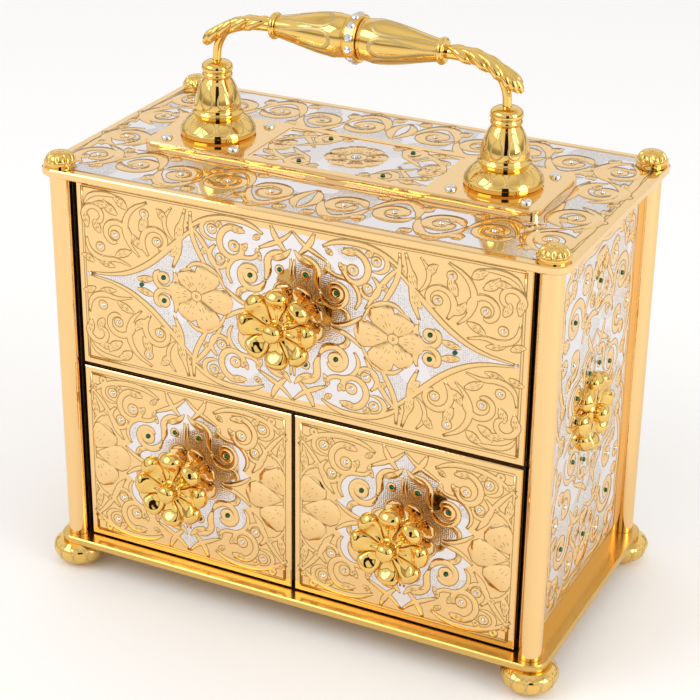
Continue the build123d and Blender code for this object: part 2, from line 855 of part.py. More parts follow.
def make_centre_ring():
    """Ring between the barrels, with a row of seats for crystals."""
    bore = rod_radius + rod_gap
    seat_floor = ring_radius - crystal_seat
    turn = 360 / crystal_count
    spin = Plane(origin=(0, mid_y, grip_z), x_dir=(0, 1, 0), z_dir=(1, 0, 0))
    with BuildPart() as seats:
        with PolarLocations(0, crystal_count, start_angle=turn / 2):
            with Locations(Location((seat_floor, 0, 0), (0, 90, 0))):
                Cylinder(
                    crystal_radius + thread_gap,
                    crystal_seat + 1,
                    align=(Align.CENTER, Align.CENTER, Align.MIN),
                )
    with BuildPart() as centre_ring:
        with BuildSketch(spin.offset(-ring_width / 2)):
            Circle(ring_radius)
            Circle(bore, mode=Mode.SUBTRACT)
        extrude(amount=ring_width)
        fillet(centre_ring.edges().filter_by(GeomType.CIRCLE).sort_by(SortBy.RADIUS)[-2:], 0.7)
        add(place_on(seats.part, spin), mode=Mode.SUBTRACT)
    save(centre_ring.part, "centre_ring")

    with BuildPart() as crystals:
        with PolarLocations(0, crystal_count, start_angle=turn / 2):
            with Locations(Location((seat_floor, 0, 0), (0, 90, 0))):
                Cylinder(
                    crystal_radius,
                    crystal_seat + crystal_stand,
                    align=(Align.CENTER, Align.CENTER, Align.MIN),
                )
    save(place_on(crystals.part, spin), "ring_crystals")


def make_grip_rod():
    rod_half = grip_length / 2 + collar_width - grip_rod_inset
    with BuildPart() as grip_rod:
        with BuildSketch(Plane(origin=(-rod_half, mid_y, grip_z), x_dir=(0, 1, 0), z_dir=(1, 0, 0))):
            Circle(rod_radius)
        extrude(amount=2 * rod_half)
    save(grip_rod.part, "grip_rod")


# ---- the whole casket --------------------------------------------------------------
make_base_plate()
make_top_plate()
for corner_name in corners:
    make_column(corner_name)
    make_foot(corner_name)
make_tie_rods()
make_corner_rosettes()
make_side_panel(-1, "side_panel_left")
make_side_panel(1, "side_panel_right")
make_back_panel()
make_inner_case()
make_shelf()
make_centre_divider()
for drawer_name in drawers:
    make_drawer(drawer_name)
make_side_rosette(-1, "side_rosette_left")
make_side_rosette(1, "side_rosette_right")
make_handle_plate()
make_handle_insert()
make_insert_stones()
make_plate_screws()
make_pedestal(-1, "pedestal_left")
make_pedestal(1, "pedestal_right")
make_arm(-1, "arm_left")
make_arm(1, "arm_right")
make_handle_nuts()
make_grip_half(-1, "grip_left")
make_grip_half(1, "grip_right")
make_grip_collars()
make_centre_ring()
make_grip_rod()
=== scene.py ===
import bmesh
import bpy
import math
import random
from mathutils import Matrix, Vector


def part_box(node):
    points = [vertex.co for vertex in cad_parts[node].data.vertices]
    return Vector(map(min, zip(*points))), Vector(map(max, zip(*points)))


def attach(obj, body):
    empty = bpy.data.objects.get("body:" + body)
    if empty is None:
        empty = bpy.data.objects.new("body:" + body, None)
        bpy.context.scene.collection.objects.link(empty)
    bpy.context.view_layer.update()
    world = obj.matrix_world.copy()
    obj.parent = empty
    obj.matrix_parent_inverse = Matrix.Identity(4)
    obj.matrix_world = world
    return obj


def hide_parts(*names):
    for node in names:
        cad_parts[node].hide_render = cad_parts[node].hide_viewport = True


# A gilded three-drawer casket: the frame gives the solids, and this file gives the
# cast, engraved and stone-set surfaces, the velvet and the light.
# Sizes in the drawings below are millimetres; MM turns them to metres.

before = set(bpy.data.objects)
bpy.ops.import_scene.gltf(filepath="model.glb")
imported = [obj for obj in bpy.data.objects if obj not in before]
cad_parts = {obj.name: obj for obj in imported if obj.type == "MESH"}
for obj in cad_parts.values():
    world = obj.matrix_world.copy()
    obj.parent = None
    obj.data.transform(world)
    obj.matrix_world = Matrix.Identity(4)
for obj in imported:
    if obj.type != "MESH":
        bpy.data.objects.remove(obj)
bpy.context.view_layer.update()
MM = 0.001


# ---- camera ------------------------------------------------------------------------
CAMERA_PLACE = (0.3449, -0.7151, 0.4947)
CAMERA_YAW = 27.38
CAMERA_PITCH = 25.57
SENSOR_WIDTH = 36.0
LENS = 102.1
SHIFT_X = 0.0744
SHIFT_Y = -0.014


def place_camera():
    yaw = math.radians(CAMERA_YAW)
    pitch = math.radians(CAMERA_PITCH)
    look = Vector(
        (-math.sin(yaw) * math.cos(pitch), math.cos(yaw) * math.cos(pitch), -math.sin(pitch))
    )
    bpy.ops.object.camera_add(location=CAMERA_PLACE)
    camera = bpy.context.object
    camera.rotation_mode = "QUATERNION"
    camera.rotation_quaternion = look.to_track_quat("-Z", "Y")
    camera.data.sensor_width = SENSOR_WIDTH
    camera.data.lens = LENS
    camera.data.shift_x = SHIFT_X
    camera.data.shift_y = SHIFT_Y
    bpy.context.scene.camera = camera


place_camera()


# ---- materials ---------------------------------------------------------------------
def paint(code):
    """A material colour from its sRGB hex value."""
    channels = [int(code[i : i + 2], 16) / 255 for i in (1, 3, 5)]
    linear = [c / 12.92 if c <= 0.04045 else ((c + 0.055) / 1.055) ** 2.4 for c in channels]
    return (*linear, 1.0)


def add_node(tree, kind, links=None, values=None, settings=None):
    """Adds one node, sets its properties and sockets, and links its inputs."""
    node = tree.nodes.new(kind)
    for key, value in (settings or {}).items():
        setattr(node, key, value)
    for key, value in (values or {}).items():
        node.inputs[key].default_value = value
    for key, source in (links or {}).items():
        tree.links.new(source, node.inputs[key])
    return node


def set_stops(ramp, stops):
    """Gives a colour ramp its (position, colour) stops."""
    for i, (position, colour) in enumerate(stops):
        stop = ramp.color_ramp.elements[i] if i < 2 else ramp.color_ramp.elements.new(position)
        stop.color = colour
        stop.position = position


def new_material(name, colour, roughness, **values):
    """An empty material with one Principled shader whose sockets are set."""
    material = bpy.data.materials.new(name)
    material.use_nodes = True
    tree = material.node_tree
    shader = tree.nodes["Principled BSDF"]
    shader.inputs["Base Color"].default_value = paint(colour)
    shader.inputs["Roughness"].default_value = roughness
    for key, value in values.items():
        shader.inputs[key.replace("_", " ")].default_value = value
    return material, tree, shader


def surface_grain(tree, shader, grain, detail, depth):
    """The unevenness a tool or a pile leaves, its grain and depth in millimetres."""
    place = add_node(tree, "ShaderNodeTexCoord").outputs["Object"]
    scale = 1 / (grain * MM)
    noise = add_node(tree, "ShaderNodeTexNoise", {"Vector": place}, {"Scale": scale, "Detail": detail})
    bump = add_node(tree, "ShaderNodeBump", {"Height": noise.outputs["Fac"]}, {"Distance": depth * MM})
    tree.links.new(bump.outputs["Normal"], shader.inputs["Normal"])


def polished_gilding():
    # Brass, buffed and gold plated: a deep yellow mirror with faint buffing waves.
    material, tree, shader = new_material("polished gilding", "#ECC46F", 0.05, Metallic=1.0)
    surface_grain(tree, shader, grain=9, detail=1.0, depth=0.05)
    return material


def satin_gilding():
    # Gold plate on a rolled and lapped brass sheet: paler, soft but still reflecting.
    material, tree, shader = new_material("satin gilding", "#F4CD90", 0.07, Metallic=1.0)
    surface_grain(tree, shader, grain=1.4, detail=3.0, depth=0.012)
    return material


def brushed_gilding():
    # Gold plate on a milled and brushed slab: a duller olive gold that mirrors nothing sharply.
    material, tree, shader = new_material("brushed gilding", "#DDB668", 0.24, Metallic=1.0)
    surface_grain(tree, shader, grain=0.8, detail=2.0, depth=0.01)
    return material


def matted_gilding():
    # Sand-blasted lines on the turned pieces: dull, dry gold beside the mirror.
    material, tree, shader = new_material("matted gilding", "#D3B87A", 0.45, Metallic=1.0)
    surface_grain(tree, shader, grain=0.25, detail=2.0, depth=0.04)
    return material


def engraved_line_shade():
    # The engraved line round every scroll and the hatching: the cut is real, its darker gold is painted
    # shade of the burin's furrow.
    return new_material("engraved line painted shade", "#B4935C", 0.4, Metallic=1.0)[0]


def punched_silver():
    # Silver plate, part burnished and part matted with a dot punch about 0.6 mm across,
    # drawn 0.9 mm to show: lilac white fields beside stippled ones, whose grey is painted shade in each
    # punch hollow.
    material, tree, shader = new_material("punched silver", "#E6E0E0", 0.2, Metallic=1.0)
    dot_scale = 1 / (0.9 * MM)
    field_scale = 1 / (17 * MM)
    place = add_node(tree, "ShaderNodeTexCoord").outputs["Object"]
    dots = add_node(
        tree, "ShaderNodeTexVoronoi", {"Vector": place}, {"Scale": dot_scale, "Randomness": 0.35}
    )
    fields = add_node(
        tree, "ShaderNodeTexNoise", {"Vector": place}, {"Scale": field_scale, "Detail": 0.0}
    )
    matted = add_node(tree, "ShaderNodeValToRGB", {"Fac": fields.outputs["Fac"]})
    set_stops(matted, ((0.47, (0, 0, 0, 1)), (0.49, (1, 1, 1, 1))))
    # Painted shade: each punch dot is grey at its hollow and paler towards its rim.
    shade = add_node(tree, "ShaderNodeValToRGB", {"Fac": dots.outputs["Distance"]})
    set_stops(shade, ((0.12, paint("#B2AAA6")), (0.42, paint("#E6E0DE"))))
    tone = add_node(
        tree,
        "ShaderNodeMix",
        {"Factor": matted.outputs["Color"], "B": shade.outputs["Color"]},
        {"A": paint("#E9E4E5")},
        {"data_type": "RGBA"},
    )
    tree.links.new(tone.outputs[2], shader.inputs["Base Color"])
    sheen = add_node(
        tree, "ShaderNodeMapRange", {"Value": matted.outputs["Color"]}, {"To Min": 0.08, "To Max": 0.22}
    )
    tree.links.new(sheen.outputs["Result"], shader.inputs["Roughness"])
    depth = add_node(
        tree,
        "ShaderNodeMath",
        {0: dots.outputs["Distance"], 1: matted.outputs["Color"]},
        settings={"operation": "MULTIPLY"},
    )
    bump = add_node(tree, "ShaderNodeBump", {"Height": depth.outputs["Value"]}, {"Distance": 0.12 * MM})
    tree.links.new(bump.outputs["Normal"], shader.inputs["Normal"])
    return material


def nickel_plate():
    # Nickel on small steel screws: a cool grey-white gleam among the gold.
    return new_material("nickel plate", "#E4E2DD", 0.12, Metallic=1.0)[0]


def turned_steel():
    # Bright drawn steel rod: plain grey with a soft sheen.
    return new_material("turned steel", "#B9BBBE", 0.3, Metallic=1.0)[0]


def foiled_crystal():
    # Foiled glass chatons: bright facets with small dark ones between.
    return new_material("foiled crystal", "#DADDE4", 0.02, Metallic=0.85, IOR=1.6)[0]


def green_glass():
    # Foiled green glass: almost black green, lit on a facet or two.
    return new_material("green glass", "#0B5A33", 0.05, Metallic=0.35, IOR=1.55)[0]


def stained_beech():
    # Dark stained beech: brown-black with fine straight grain about 1 mm wide.
    material, tree, shader = new_material("stained beech", "#2B1710", 0.42, Coat_Weight=0.15)
    grain_scale = (1 / (12 * MM), 1 / (12 * MM), 1 / (1.1 * MM))
    place = add_node(tree, "ShaderNodeTexCoord").outputs["Object"]
    stretch = add_node(tree, "ShaderNodeMapping", {"Vector": place}, {"Scale": grain_scale})
    grain = add_node(
        tree, "ShaderNodeTexNoise", {"Vector": stretch.outputs["Vector"]}, {"Scale": 1.0, "Detail": 4.0}
    )
    tone = add_node(tree, "ShaderNodeValToRGB", {"Fac": grain.outputs["Fac"]})
    set_stops(tone, ((0.0, paint("#1A0D09")), (1.0, paint("#4A2A1C"))))
    tree.links.new(tone.outputs["Color"], shader.inputs["Base Color"])
    bump = add_node(tree, "ShaderNodeBump", {"Height": grain.outputs["Fac"]}, {"Distance": 0.06 * MM})
    tree.links.new(bump.outputs["Normal"], shader.inputs["Normal"])
    return material


def wine_velvet():
    # Cotton velvet, pile about 1 mm: deep wine red that pales where it turns away.
    material, tree, shader = new_material("wine velvet", "#5A0F1C", 0.9, Sheen_Weight=0.8)
    surface_grain(tree, shader, grain=1.2, detail=3.0, depth=0.25)
    return material


GOLD = polished_gilding()
SATIN = satin_gilding()
BRUSHED = brushed_gilding()
# Darker gold for cut lines and hatching: painted shade of the engraved furrows.
CUT_SHADE = engraved_line_shade()
SILVER = punched_silver()
MATT = matted_gilding()
NICKEL = nickel_plate()
STEEL = turned_steel()
CRYSTAL = foiled_crystal()
GREEN = green_glass()
WOOD = stained_beech()
VELVET = wine_velvet()


# ---- materials on the frame's own solids ----------------------------------------------
def finish_nodes(nodes, material):
    for node in nodes:
        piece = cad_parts[node]
        for slot in piece.material_slots:
            slot.material = material
        if not piece.material_slots:
            piece.data.materials.append(material)


drawer_names = ("upper", "lower_left", "lower_right")
panels = ["side_panel_left", "side_panel_right", "back_panel"]
finish_nodes(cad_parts, GOLD)
finish_nodes(["top_plate", "handle_plate", "handle_insert", *panels], SATIN)
finish_nodes([f"{drawer}_front" for drawer in drawer_names], SATIN)
finish_nodes(["base_plate"], BRUSHED)
finish_nodes(["inner_case", "shelf_divider", "centre_divider"], WOOD)
finish_nodes([f"{drawer}_tray" for drawer in drawer_names], WOOD)
finish_nodes(["tie_rods", "grip_rod", "handle_nuts"], STEEL)


# ---- flat drawings: strokes, curls and closed outlines in millimetres --------------------
# A stroke is a list of (x, y, width). Drawings cover one quarter and are mirrored.
def stroke(start, middle, end, *points):
    """A line through the points whose width runs from start over middle to end."""
    last = len(points) - 1
    drawn = []
    for i, (x, y) in enumerate(points):
        t = i / last
        if t < 0.5:
            width = start + (middle - start) * 2 * t
        else:
            width = middle + (end - middle) * (2 * t - 1)
        drawn.append((x, y, width))
    return drawn


def curl(x, y, outer, inner, start, turn, width=1.6, tip=0.9):
    """A volute that winds round (x, y) from the outer to the inner radius."""
    steps = max(4, round(abs(turn) / 40))
    drawn = []
    for i in range(steps + 1):
        t = i / steps
        angle = math.radians(start + turn * t)
        radius = outer + (inner - outer) * t**0.75
        drawn.append(
            (x + radius * math.cos(angle), y + radius * math.sin(angle), width + (tip - width) * t)
        )
    return drawn


def at_angle(radius, angle):
    a = math.radians(angle)
    return radius * math.cos(a), radius * math.sin(a)


def ring(x, y, radius, width, steps=10):
    """A closed round band."""
    turn = 2 * math.pi / steps
    return [
        (x + radius * math.cos(i * turn), y + radius * math.sin(i * turn), width)
        for i in range(steps)
    ] + ["closed"]


def leaf(x, y, angle, length, width, sweep=0.0):
    """A pointed leaf from (x, y); sweep bends its tip sideways."""
    a = math.radians(angle)
    along = (math.cos(a), math.sin(a))
    across = (-along[1], along[0])
    shape = ((0, 0, 0.25), (0.3, 0.02, 0.85), (0.55, 0.1, 1.0), (0.8, 0.4, 0.6), (1.0, 1.0, 0.08))
    return [
        (
            x + along[0] * length * t + across[0] * sweep * s,
            y + along[1] * length * t + across[1] * sweep * s,
            width * w,
        )
        for t, s, w in shape
    ]


def petal(x, y, angle, length, width):
    """A round-ended petal from (x, y)."""
    a = math.radians(angle)
    shape = ((0, 0.12), (0.25, 0.5), (0.5, 0.9), (0.72, 1.0), (0.9, 0.72), (1.0, 0.1))
    return [
        (x + math.cos(a) * length * t, y + math.sin(a) * length * t, width * w) for t, w in shape
    ]


def eye(x, y, size=3.6):
    """A gold disc that a stone is set in, sunk a little round the stone."""
    return ring(x, y, size * 0.62, size * 0.74)


def bolder(strokes, factor):
    """The same drawing with a heavier line; ends stay thin, rings and discs as they are."""
    heavier = []
    for s in strokes:
        if s[-1] != "closed":
            inner = [(x, y, width * factor) for x, y, width in s[1:-1]]
            ends = [(x, y, min(width, 0.9) * 0.8) for x, y, width in (s[0], s[-1])]
            s = [ends[0], *inner, ends[1]]
        heavier.append(s)
    return heavier


def scaled(strokes, scale):
    return [
        [p if p == "closed" else tuple(value * scale for value in p) for p in s] for s in strokes
    ]


def running_scroll(x, y, angle, pitch, count, height, flip=1):
    """A wave stem with a volute in every bend: (bands, leaves, stone places)."""
    a = math.radians(angle)
    bands, leaves, eyes = [], [], []

    def put(along, across):
        return (
            x + math.cos(a) * along - math.sin(a) * across,
            y + math.sin(a) * along + math.cos(a) * across,
        )

    for i in range(count):
        side = flip if i % 2 == 0 else -flip
        left = i * pitch
        middle = left + pitch / 2
        wave = [
            put(left, -side * height * 0.12),
            put(left + pitch * 0.16, side * height * 0.55),
            put(middle, side * height),
            put(left + pitch * 0.84, side * height * 0.62),
            put(left + pitch, -side * height * 0.12),
        ]
        bands.append(stroke(1.0, 2.2, 1.6, *wave))
        cx, cy = put(middle, side * height * 0.08)
        outer = pitch * 0.44
        volute = curl(cx, cy, outer, 3.4, angle - side * 8, -side * 400, 2.1, 1.6)
        bands.append(volute)
        bands.append(eye(cx, cy))
        eyes.append((cx, cy))
        crest = put(middle - pitch * 0.12, side * height * 1.08)
        leaves.append(leaf(*crest, angle + side * 10, height * 0.55, 3.0, -side * 1.8))
        back = put(left + pitch * 0.10, side * height * 0.75)
        leaves.append(leaf(*back, angle + side * 118, height * 0.5, 3.0, side * 1.4))
        low = put(left + pitch * 0.9, side * height * 0.4)
        leaves.append(leaf(*low, angle + side * 70, height * 0.62, 3.2, -side * 1.6))
        inner = put(middle + outer * 0.62, -side * height * 0.2)
        leaves.append(leaf(*inner, angle - side * 150, outer * 0.62, 2.2, side * 1.0))
    return bands, leaves, eyes


def turned_over(drawn, sx, sy):
    return [p if p == "closed" else (p[0] * sx, p[1] * sy, p[2]) for p in drawn]


def four_ways(strokes):
    return [turned_over(s, sx, sy) for s in strokes for sx in (1, -1) for sy in (1, -1)]


def widened(strokes, extra):
    return [
        [p if p == "closed" else (p[0], p[1], p[2] + min(extra, p[2] + 0.15)) for p in s]
        for s in strokes
    ]


def hatches(leaves):
    """Short burin cuts fanned from the root of each leaf."""
    spread, longest = 0.24, 3.2
    cuts = []
    for points in leaves:
        for (xa, ya, wa), (xb, yb, wb) in zip(points[1:3], points[2:4]):
            run = math.hypot(xb - xa, yb - ya)
            along = ((xb - xa) / run, (yb - ya) / run)
            across = (-along[1], along[0])
            for k in (-spread, 0.0, spread):
                x = xa + across[0] * wa * k
                y = ya + across[1] * wa * k
                reach = min(run, longest) * (1.1 - 1.6 * abs(k))
                middle = (x + along[0] * reach * 0.5, y + along[1] * reach * 0.5)
                end = (x + along[0] * reach, y + along[1] * reach)
                cuts.append(stroke(0.1, 0.34, 0.08, (x, y), middle, end))
    return cuts


# ---- from drawings to relief -------------------------------------------------------------
def box_of(node):
    """Lowest and highest corner of a node."""
    return [Vector(corner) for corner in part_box(node)]


def face_of(node, side):
    """Frame (origin, right, up, out) of a node's outer face, in metres."""
    low, high = box_of(node)
    middle = (low + high) / 2
    frames = {
        "front": (Vector((middle.x, low.y, middle.z)), (1, 0, 0), (0, 0, 1), (0, -1, 0)),
        "back": (Vector((middle.x, high.y, middle.z)), (-1, 0, 0), (0, 0, 1), (0, 1, 0)),
        "right": (Vector((high.x, middle.y, middle.z)), (0, 1, 0), (0, 0, 1), (1, 0, 0)),
        "left": (Vector((low.x, middle.y, middle.z)), (0, -1, 0), (0, 0, 1), (-1, 0, 0)),
        "top": (Vector((middle.x, middle.y, high.z)), (1, 0, 0), (0, 1, 0), (0, 0, 1)),
    }
    origin, right, up, out = frames[side]
    return origin, Vector(right), Vector(up), Vector(out)


def lay_on(piece, face):
    """Carries a piece drawn flat in millimetres onto a face of the casket."""
    origin, right, up, out = face
    for vertex in piece.data.vertices:
        x, y, z = vertex.co
        vertex.co = origin + (right * x + up * y + out * z) * MM


def dress(piece, body, slot, *materials):
    """Gives a finished piece its body and materials; slot is not used."""
    piece.data.materials.clear()
    for material in materials:
        piece.data.materials.append(material)
    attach(piece, body)
    return piece


def pick(pieces):
    """Selects these pieces alone, the first of them active."""
    bpy.ops.object.select_all(action="DESELECT")
    for piece in pieces:
        piece.select_set(True)
    bpy.context.view_layer.objects.active = pieces[0]


def new_curve(name, dimensions):
    """An empty curve object to draw in."""
    bpy.ops.curve.primitive_bezier_curve_add()
    piece = bpy.context.object
    piece.name = name
    piece.data.splines.clear()
    piece.data.dimensions = dimensions
    return piece, piece.data


def lay_knots(curve, places, radii=None, kinds=None, closed=False, steps=3):
    """Adds one Bezier line through places, with its widths and its corners if it has any."""
    spline = curve.splines.new("BEZIER")
    spline.bezier_points.add(len(places) - 1)
    for i, knot in enumerate(spline.bezier_points):
        knot.co = places[i]
        knot.radius = radii[i] if radii else 1.0
        kind = kinds[i] if kinds else "AUTO"
        knot.handle_left_type = kind
        knot.handle_right_type = kind
    spline.use_cyclic_u = closed
    spline.resolution_u = steps


def to_mesh(piece):
    pick([piece])
    bpy.ops.object.convert(target="MESH")
    bpy.ops.object.mode_set(mode="EDIT")
    bpy.ops.mesh.select_all(action="SELECT")
    bpy.ops.mesh.remove_doubles(threshold=0.0005)
    bpy.ops.mesh.normals_make_consistent(inside=False)
    bpy.ops.object.mode_set(mode="OBJECT")
    return piece


def chiselled_profile(steepness, rise):
    """Section of a band for a half width of 1: flat top, bevelled sides, sunk foot."""
    sink = 0.05
    section, outline = new_curve("section", "2D")
    spline = outline.splines.new("POLY")
    corners = ((-1, -sink), (1, -sink), (1, 0), (steepness, rise), (-steepness, rise), (-1, 0))
    spline.points.add(len(corners) - 1)
    for point, (x, y) in zip(spline.points, corners):
        point.co = (x, y, 0, 1)
    spline.use_cyclic_u = True
    return section


def relief(name, strokes, rise, steepness=0.88):
    """A raised drawing, still flat on XY in millimetres."""
    section = chiselled_profile(steepness, rise)
    piece, drawing = new_curve(name, "2D")
    drawing.fill_mode = "NONE"
    drawing.bevel_mode = "OBJECT"
    drawing.bevel_object = section
    drawing.use_fill_caps = True
    for drawn in strokes:
        closed = drawn[-1] == "closed"
        points = drawn[:-1] if closed else drawn
        places = [(x, y, 0) for x, y, width in points]
        lay_knots(drawing, places, [width / 2 for x, y, width in points], closed=closed)
    to_mesh(piece)
    bpy.data.objects.remove(section)
    return piece


def plaque(name, outline, height):
    """A thin flat sheet cut to a closed outline; points marked 'cusp' stay sharp."""
    piece, drawing = new_curve(name, "2D")
    drawing.fill_mode = "BOTH"
    drawing.extrude = height
    kinds = ["VECTOR" if len(point) > 2 else "AUTO" for point in outline]
    places = [(point[0], point[1], 0) for point in outline]
    lay_knots(drawing, places, kinds=kinds, closed=True, steps=4)
    return to_mesh(piece)


def round_outline(quarter):
    """A closed outline from its first quarter, which starts on the Y axis and ends on X."""
    right_top = list(quarter)
    right_low = [(p[0], -p[1], *p[2:]) for p in reversed(quarter)][1:]
    right = right_top + right_low
    left = [(-p[0], p[1], *p[2:]) for p in reversed(right)][1:-1]
    return right + left


BROAD_LEAF = 6.5


def is_broad(drawn):
    return max(p[2] for p in drawn if p != "closed") >= BROAD_LEAF


def engrave(name, node, side, body, bands, leaves, weights, ground, frame_line=None):
    """Relief of one face from its quarter: cut lines in a darker gold that paints the shadow along each
    engraved edge, gold bands and leaves, and hatching.

    weights thicken the bands and the leaves; frame_line is (half width, half height, line).
    """
    bands = four_ways(bolder(bands, weights[0]))
    if frame_line:
        bands += border(*frame_line)
    leaves = four_ways(bolder(leaves, weights[1]))
    slim = [drawn for drawn in leaves if not is_broad(drawn)]
    broad = [drawn for drawn in leaves if is_broad(drawn)]
    # The cut lines, petal lines and hatching are darker gold strips: painted shadow along the engraved
    # edges of bands and leaves.
    # layer, its strokes, how far it rises, how steep its sides are, its finish
    layers = (
        ("cut_lines_painted_shadow", widened(bands + slim, 0.75), 0.03, 0.94, CUT_SHADE),
        ("petal_lines_painted_shadow", widened(broad, 0.7), 0.012, 0.94, CUT_SHADE),
        ("bands", bands, 0.075, 0.88, SATIN),
        ("leaves", slim, 0.065, 0.85, SATIN),
        ("petals", broad, 0.03, 0.94, SATIN),
        ("hatching", hatches(leaves), 1.7, 0.5, CUT_SHADE),
    )
    pieces = [
        (relief(f"{name}_{layer}", strokes, rise, steepness), material)
        for layer, strokes, rise, steepness, material in layers
        if strokes
    ]
    pieces.append((plaque(f"{name}_silver_ground", ground, 0.014), SILVER))
    for piece, material in pieces:
        lay_on(piece, face_of(node, side))
        dress(piece, body, "engraved_gilt", material)


# ---- the drawings ------------------------------------------------------------------------
def border(half_x, half_y, width):
    """Plain frame line round a face."""
    corners = ((-half_x, -half_y), (half_x, -half_y), (half_x, half_y), (-half_x, half_y))
    lines = []
    for (xa, ya), (xb, yb) in zip(corners, corners[1:] + corners[:1]):
        lines.append([(xa, ya, width), ((xa + xb) / 2, (ya + yb) / 2, width), (xb, yb, width)])
    return lines


PETAL_ANGLES = (22.5, 67.5)
MEDALLION_EDGE = (
    (0, 38, "cusp"), (5, 33.5), (10, 30.8), (15.5, 28, "cusp"), (17, 24), (20, 22.6),
    (25, 22), (29.2, 18.5), (30.3, 13.5), (28.6, 9.8), (31.5, 7.2, "cusp"), (28, 4),
    (23, 1.4), (18, 0, "cusp"),
)


def medallion_bands():
    """Ogee medallion round the knob, one quarter."""
    return [
        stroke(0.7, 1.4, 1.1, (0, 38.5), (5, 33.8), (10, 31.1), (15.6, 28.3)),
        stroke(
            0.8, 1.3, 0.8, (15.8, 28.4), (16.9, 24.4), (20, 22.8), (25, 22.3), (29.3, 18.6),
            (30.4, 13.5), (28.5, 9.6),
        ),
        stroke(0.6, 1.4, 1.0, (32, 7.3), (28, 4.1), (23, 1.7), (17, 0.7)),
        stroke(1.2, 2.0, 2.0, (3, 28.6), (8, 27.6), (11.4, 24), (11.3, 19), (12.6, 14.4)),
        curl(19.6, 15.2, 7.2, 3.5, 187, 330, 2.0, 1.4),
        eye(20, 15, 3.4),
        eye(6, 20.4, 2.0),
        stroke(1.3, 1.8, 0.7, (10, 39.5), (8.4, 35.5), (5.4, 31.4), (2.6, 28.6)),
        stroke(0.5, 0.9, 0.4, (0.9, 27), (0.7, 22), (1.2, 17)),
    ] + [ring(*at_angle(11.4, a), 4.2, 0.7) for a in PETAL_ANGLES]


def medallion_leaves():
    return [
        stroke(0.3, 2.8, 0.3, (0.4, 31), (3.5, 27.4), (7.5, 25.4), (12.6, 25.4)),
        stroke(0.6, 2.6, 0.3, (19.5, 8.4), (23.6, 7.8), (25.4, 5.4), (24.2, 3.0)),
        leaf(14.5, 22.5, 60, 6.0, 2.0, 1.2),
    ] + [petal(*at_angle(5.4, a), a, 9.2, 7.2) for a in PETAL_ANGLES]


def corner_scrolls():
    """Scrolls round the three clear stones of each quarter, shared by all drawers."""
    return [
        curl(27.4, 26.8, 9.6, 3.4, 118, -330, 1.9, 1.5),
        eye(27.4, 26.8, 2.5),
        curl(34.0, 20.0, 6.2, 3.2, 70, -250, 1.3, 1.0),
        eye(34.0, 20.0, 2.2),
        eye(37.8, 32.5, 2.2),
        stroke(0.5, 1.5, 0.5, (37.5, 36.5), (41.5, 35.0), (42.6, 31.0), (39.6, 28.2), (35.6, 28.0)),
        stroke(0.8, 1.7, 0.8, (49.5, 33.5), (43, 26.5), (37.4, 18), (33.2, 10.5)),
        stroke(0.9, 1.8, 0.9, (50, 30), (44, 34.6), (36, 37.8), (27, 38.7), (19, 37.4), (13.6, 34.6)),
    ]


def corner_leaves():
    return [
        leaf(22.0, 33.8, 12, 9.0, 2.6, -1.6),
        leaf(18.5, 31.6, 150, 4.5, 1.8, -1.0),
        leaf(32.5, 33.6, 35, 5.5, 2.2, 1.2),
        leaf(21.2, 29.2, -60, 5.5, 2.0, 1.0),
        leaf(39.0, 23.0, -20, 5.0, 2.2, -1.8),
    ]


def lower_bands():
    return (
        medallion_bands()
        + corner_scrolls()
        + [
            ring(42.5, 37.6, 1.2, 1.3),
            stroke(0.6, 1.3, 0.6, (49, 14), (45.6, 19.5), (41.5, 21.8), (37.6, 24.5)),
            stroke(0.7, 1.0, 0.5, (49, 0.1), (42, 0.2), (35, 0.1)),
            stroke(0.6, 1.1, 0.5, (32.5, 10), (36.5, 14.2), (39.5, 19)),
        ]
    )


def lower_leaves():
    return (
        medallion_leaves()
        + corner_leaves()
        + [
            petal(48.6, 2.6, 127, 15.0, 11.0),
            petal(47.4, 0.0, 180, 18.0, 10.4),
            leaf(46.0, 18.5, 75, 9.5, 3.0, 1.6),
            leaf(44.5, 33.0, 15, 4.6, 2.2, 1.4),
        ]
    )


def upper_bands():
    return (
        medallion_bands()
        + corner_scrolls()
        + [
            stroke(0.8, 1.8, 0.6, (44, 32.8), (52, 26.2), (61, 17.5), (71, 9), (83, 3), (99, 0.4)),
            stroke(0.8, 2.0, 1.4, (50.5, 39), (53.2, 29), (54.2, 19), (57.2, 11)),
            curl(62.0, 5.4, 7.0, 3.4, 140, 285, 1.8, 1.3),
            eye(62.0, 5.4, 2.9),
            eye(45.9, 0.0, 2.4),
            stroke(0.8, 1.7, 0.8, (48, 38.5), (47.6, 29), (43.4, 19), (39.4, 12.8)),
            stroke(0.6, 1.4, 0.8, (31.4, 4.6), (34.5, 10.5), (39.6, 14.6), (46.0, 15.2), (50.6, 12)),
            stroke(0.6, 1.2, 0.6, (49.0, 3.2), (52.8, 2.4), (56.2, 0.4)),
            curl(64.8, 21.3, 8.6, 3.2, 300, 320, 1.8, 1.3),
            eye(64.8, 21.3, 2.1),
            stroke(0.6, 1.9, 0.8, (73.5, 12.6), (78.5, 18), (80.4, 25.5), (77, 33.5), (69, 38.4)),
            eye(70.6, 33.0, 2.1),
            curl(85.5, 20.6, 8.2, 3.2, 200, -310, 1.9, 1.3),
            eye(85.5, 20.6, 2.1),
            eye(93.2, 13.8, 2.1),
            stroke(0.5, 1.9, 0.8, (78, 7.5), (86, 9.2), (92, 8.4), (98.5, 11.4), (100.4, 18.5)),
            curl(95.5, 27.5, 6.6, 2.6, 320, 300, 1.8, 1.2),
            stroke(0.6, 1.7, 0.5, (82, 38), (90, 38.6), (97.6, 36.6), (101, 32)),
            stroke(0.5, 1.4, 0.5, (57, 38.4), (60.5, 33), (60, 27.4), (56.4, 23.2)),
        ]
    )


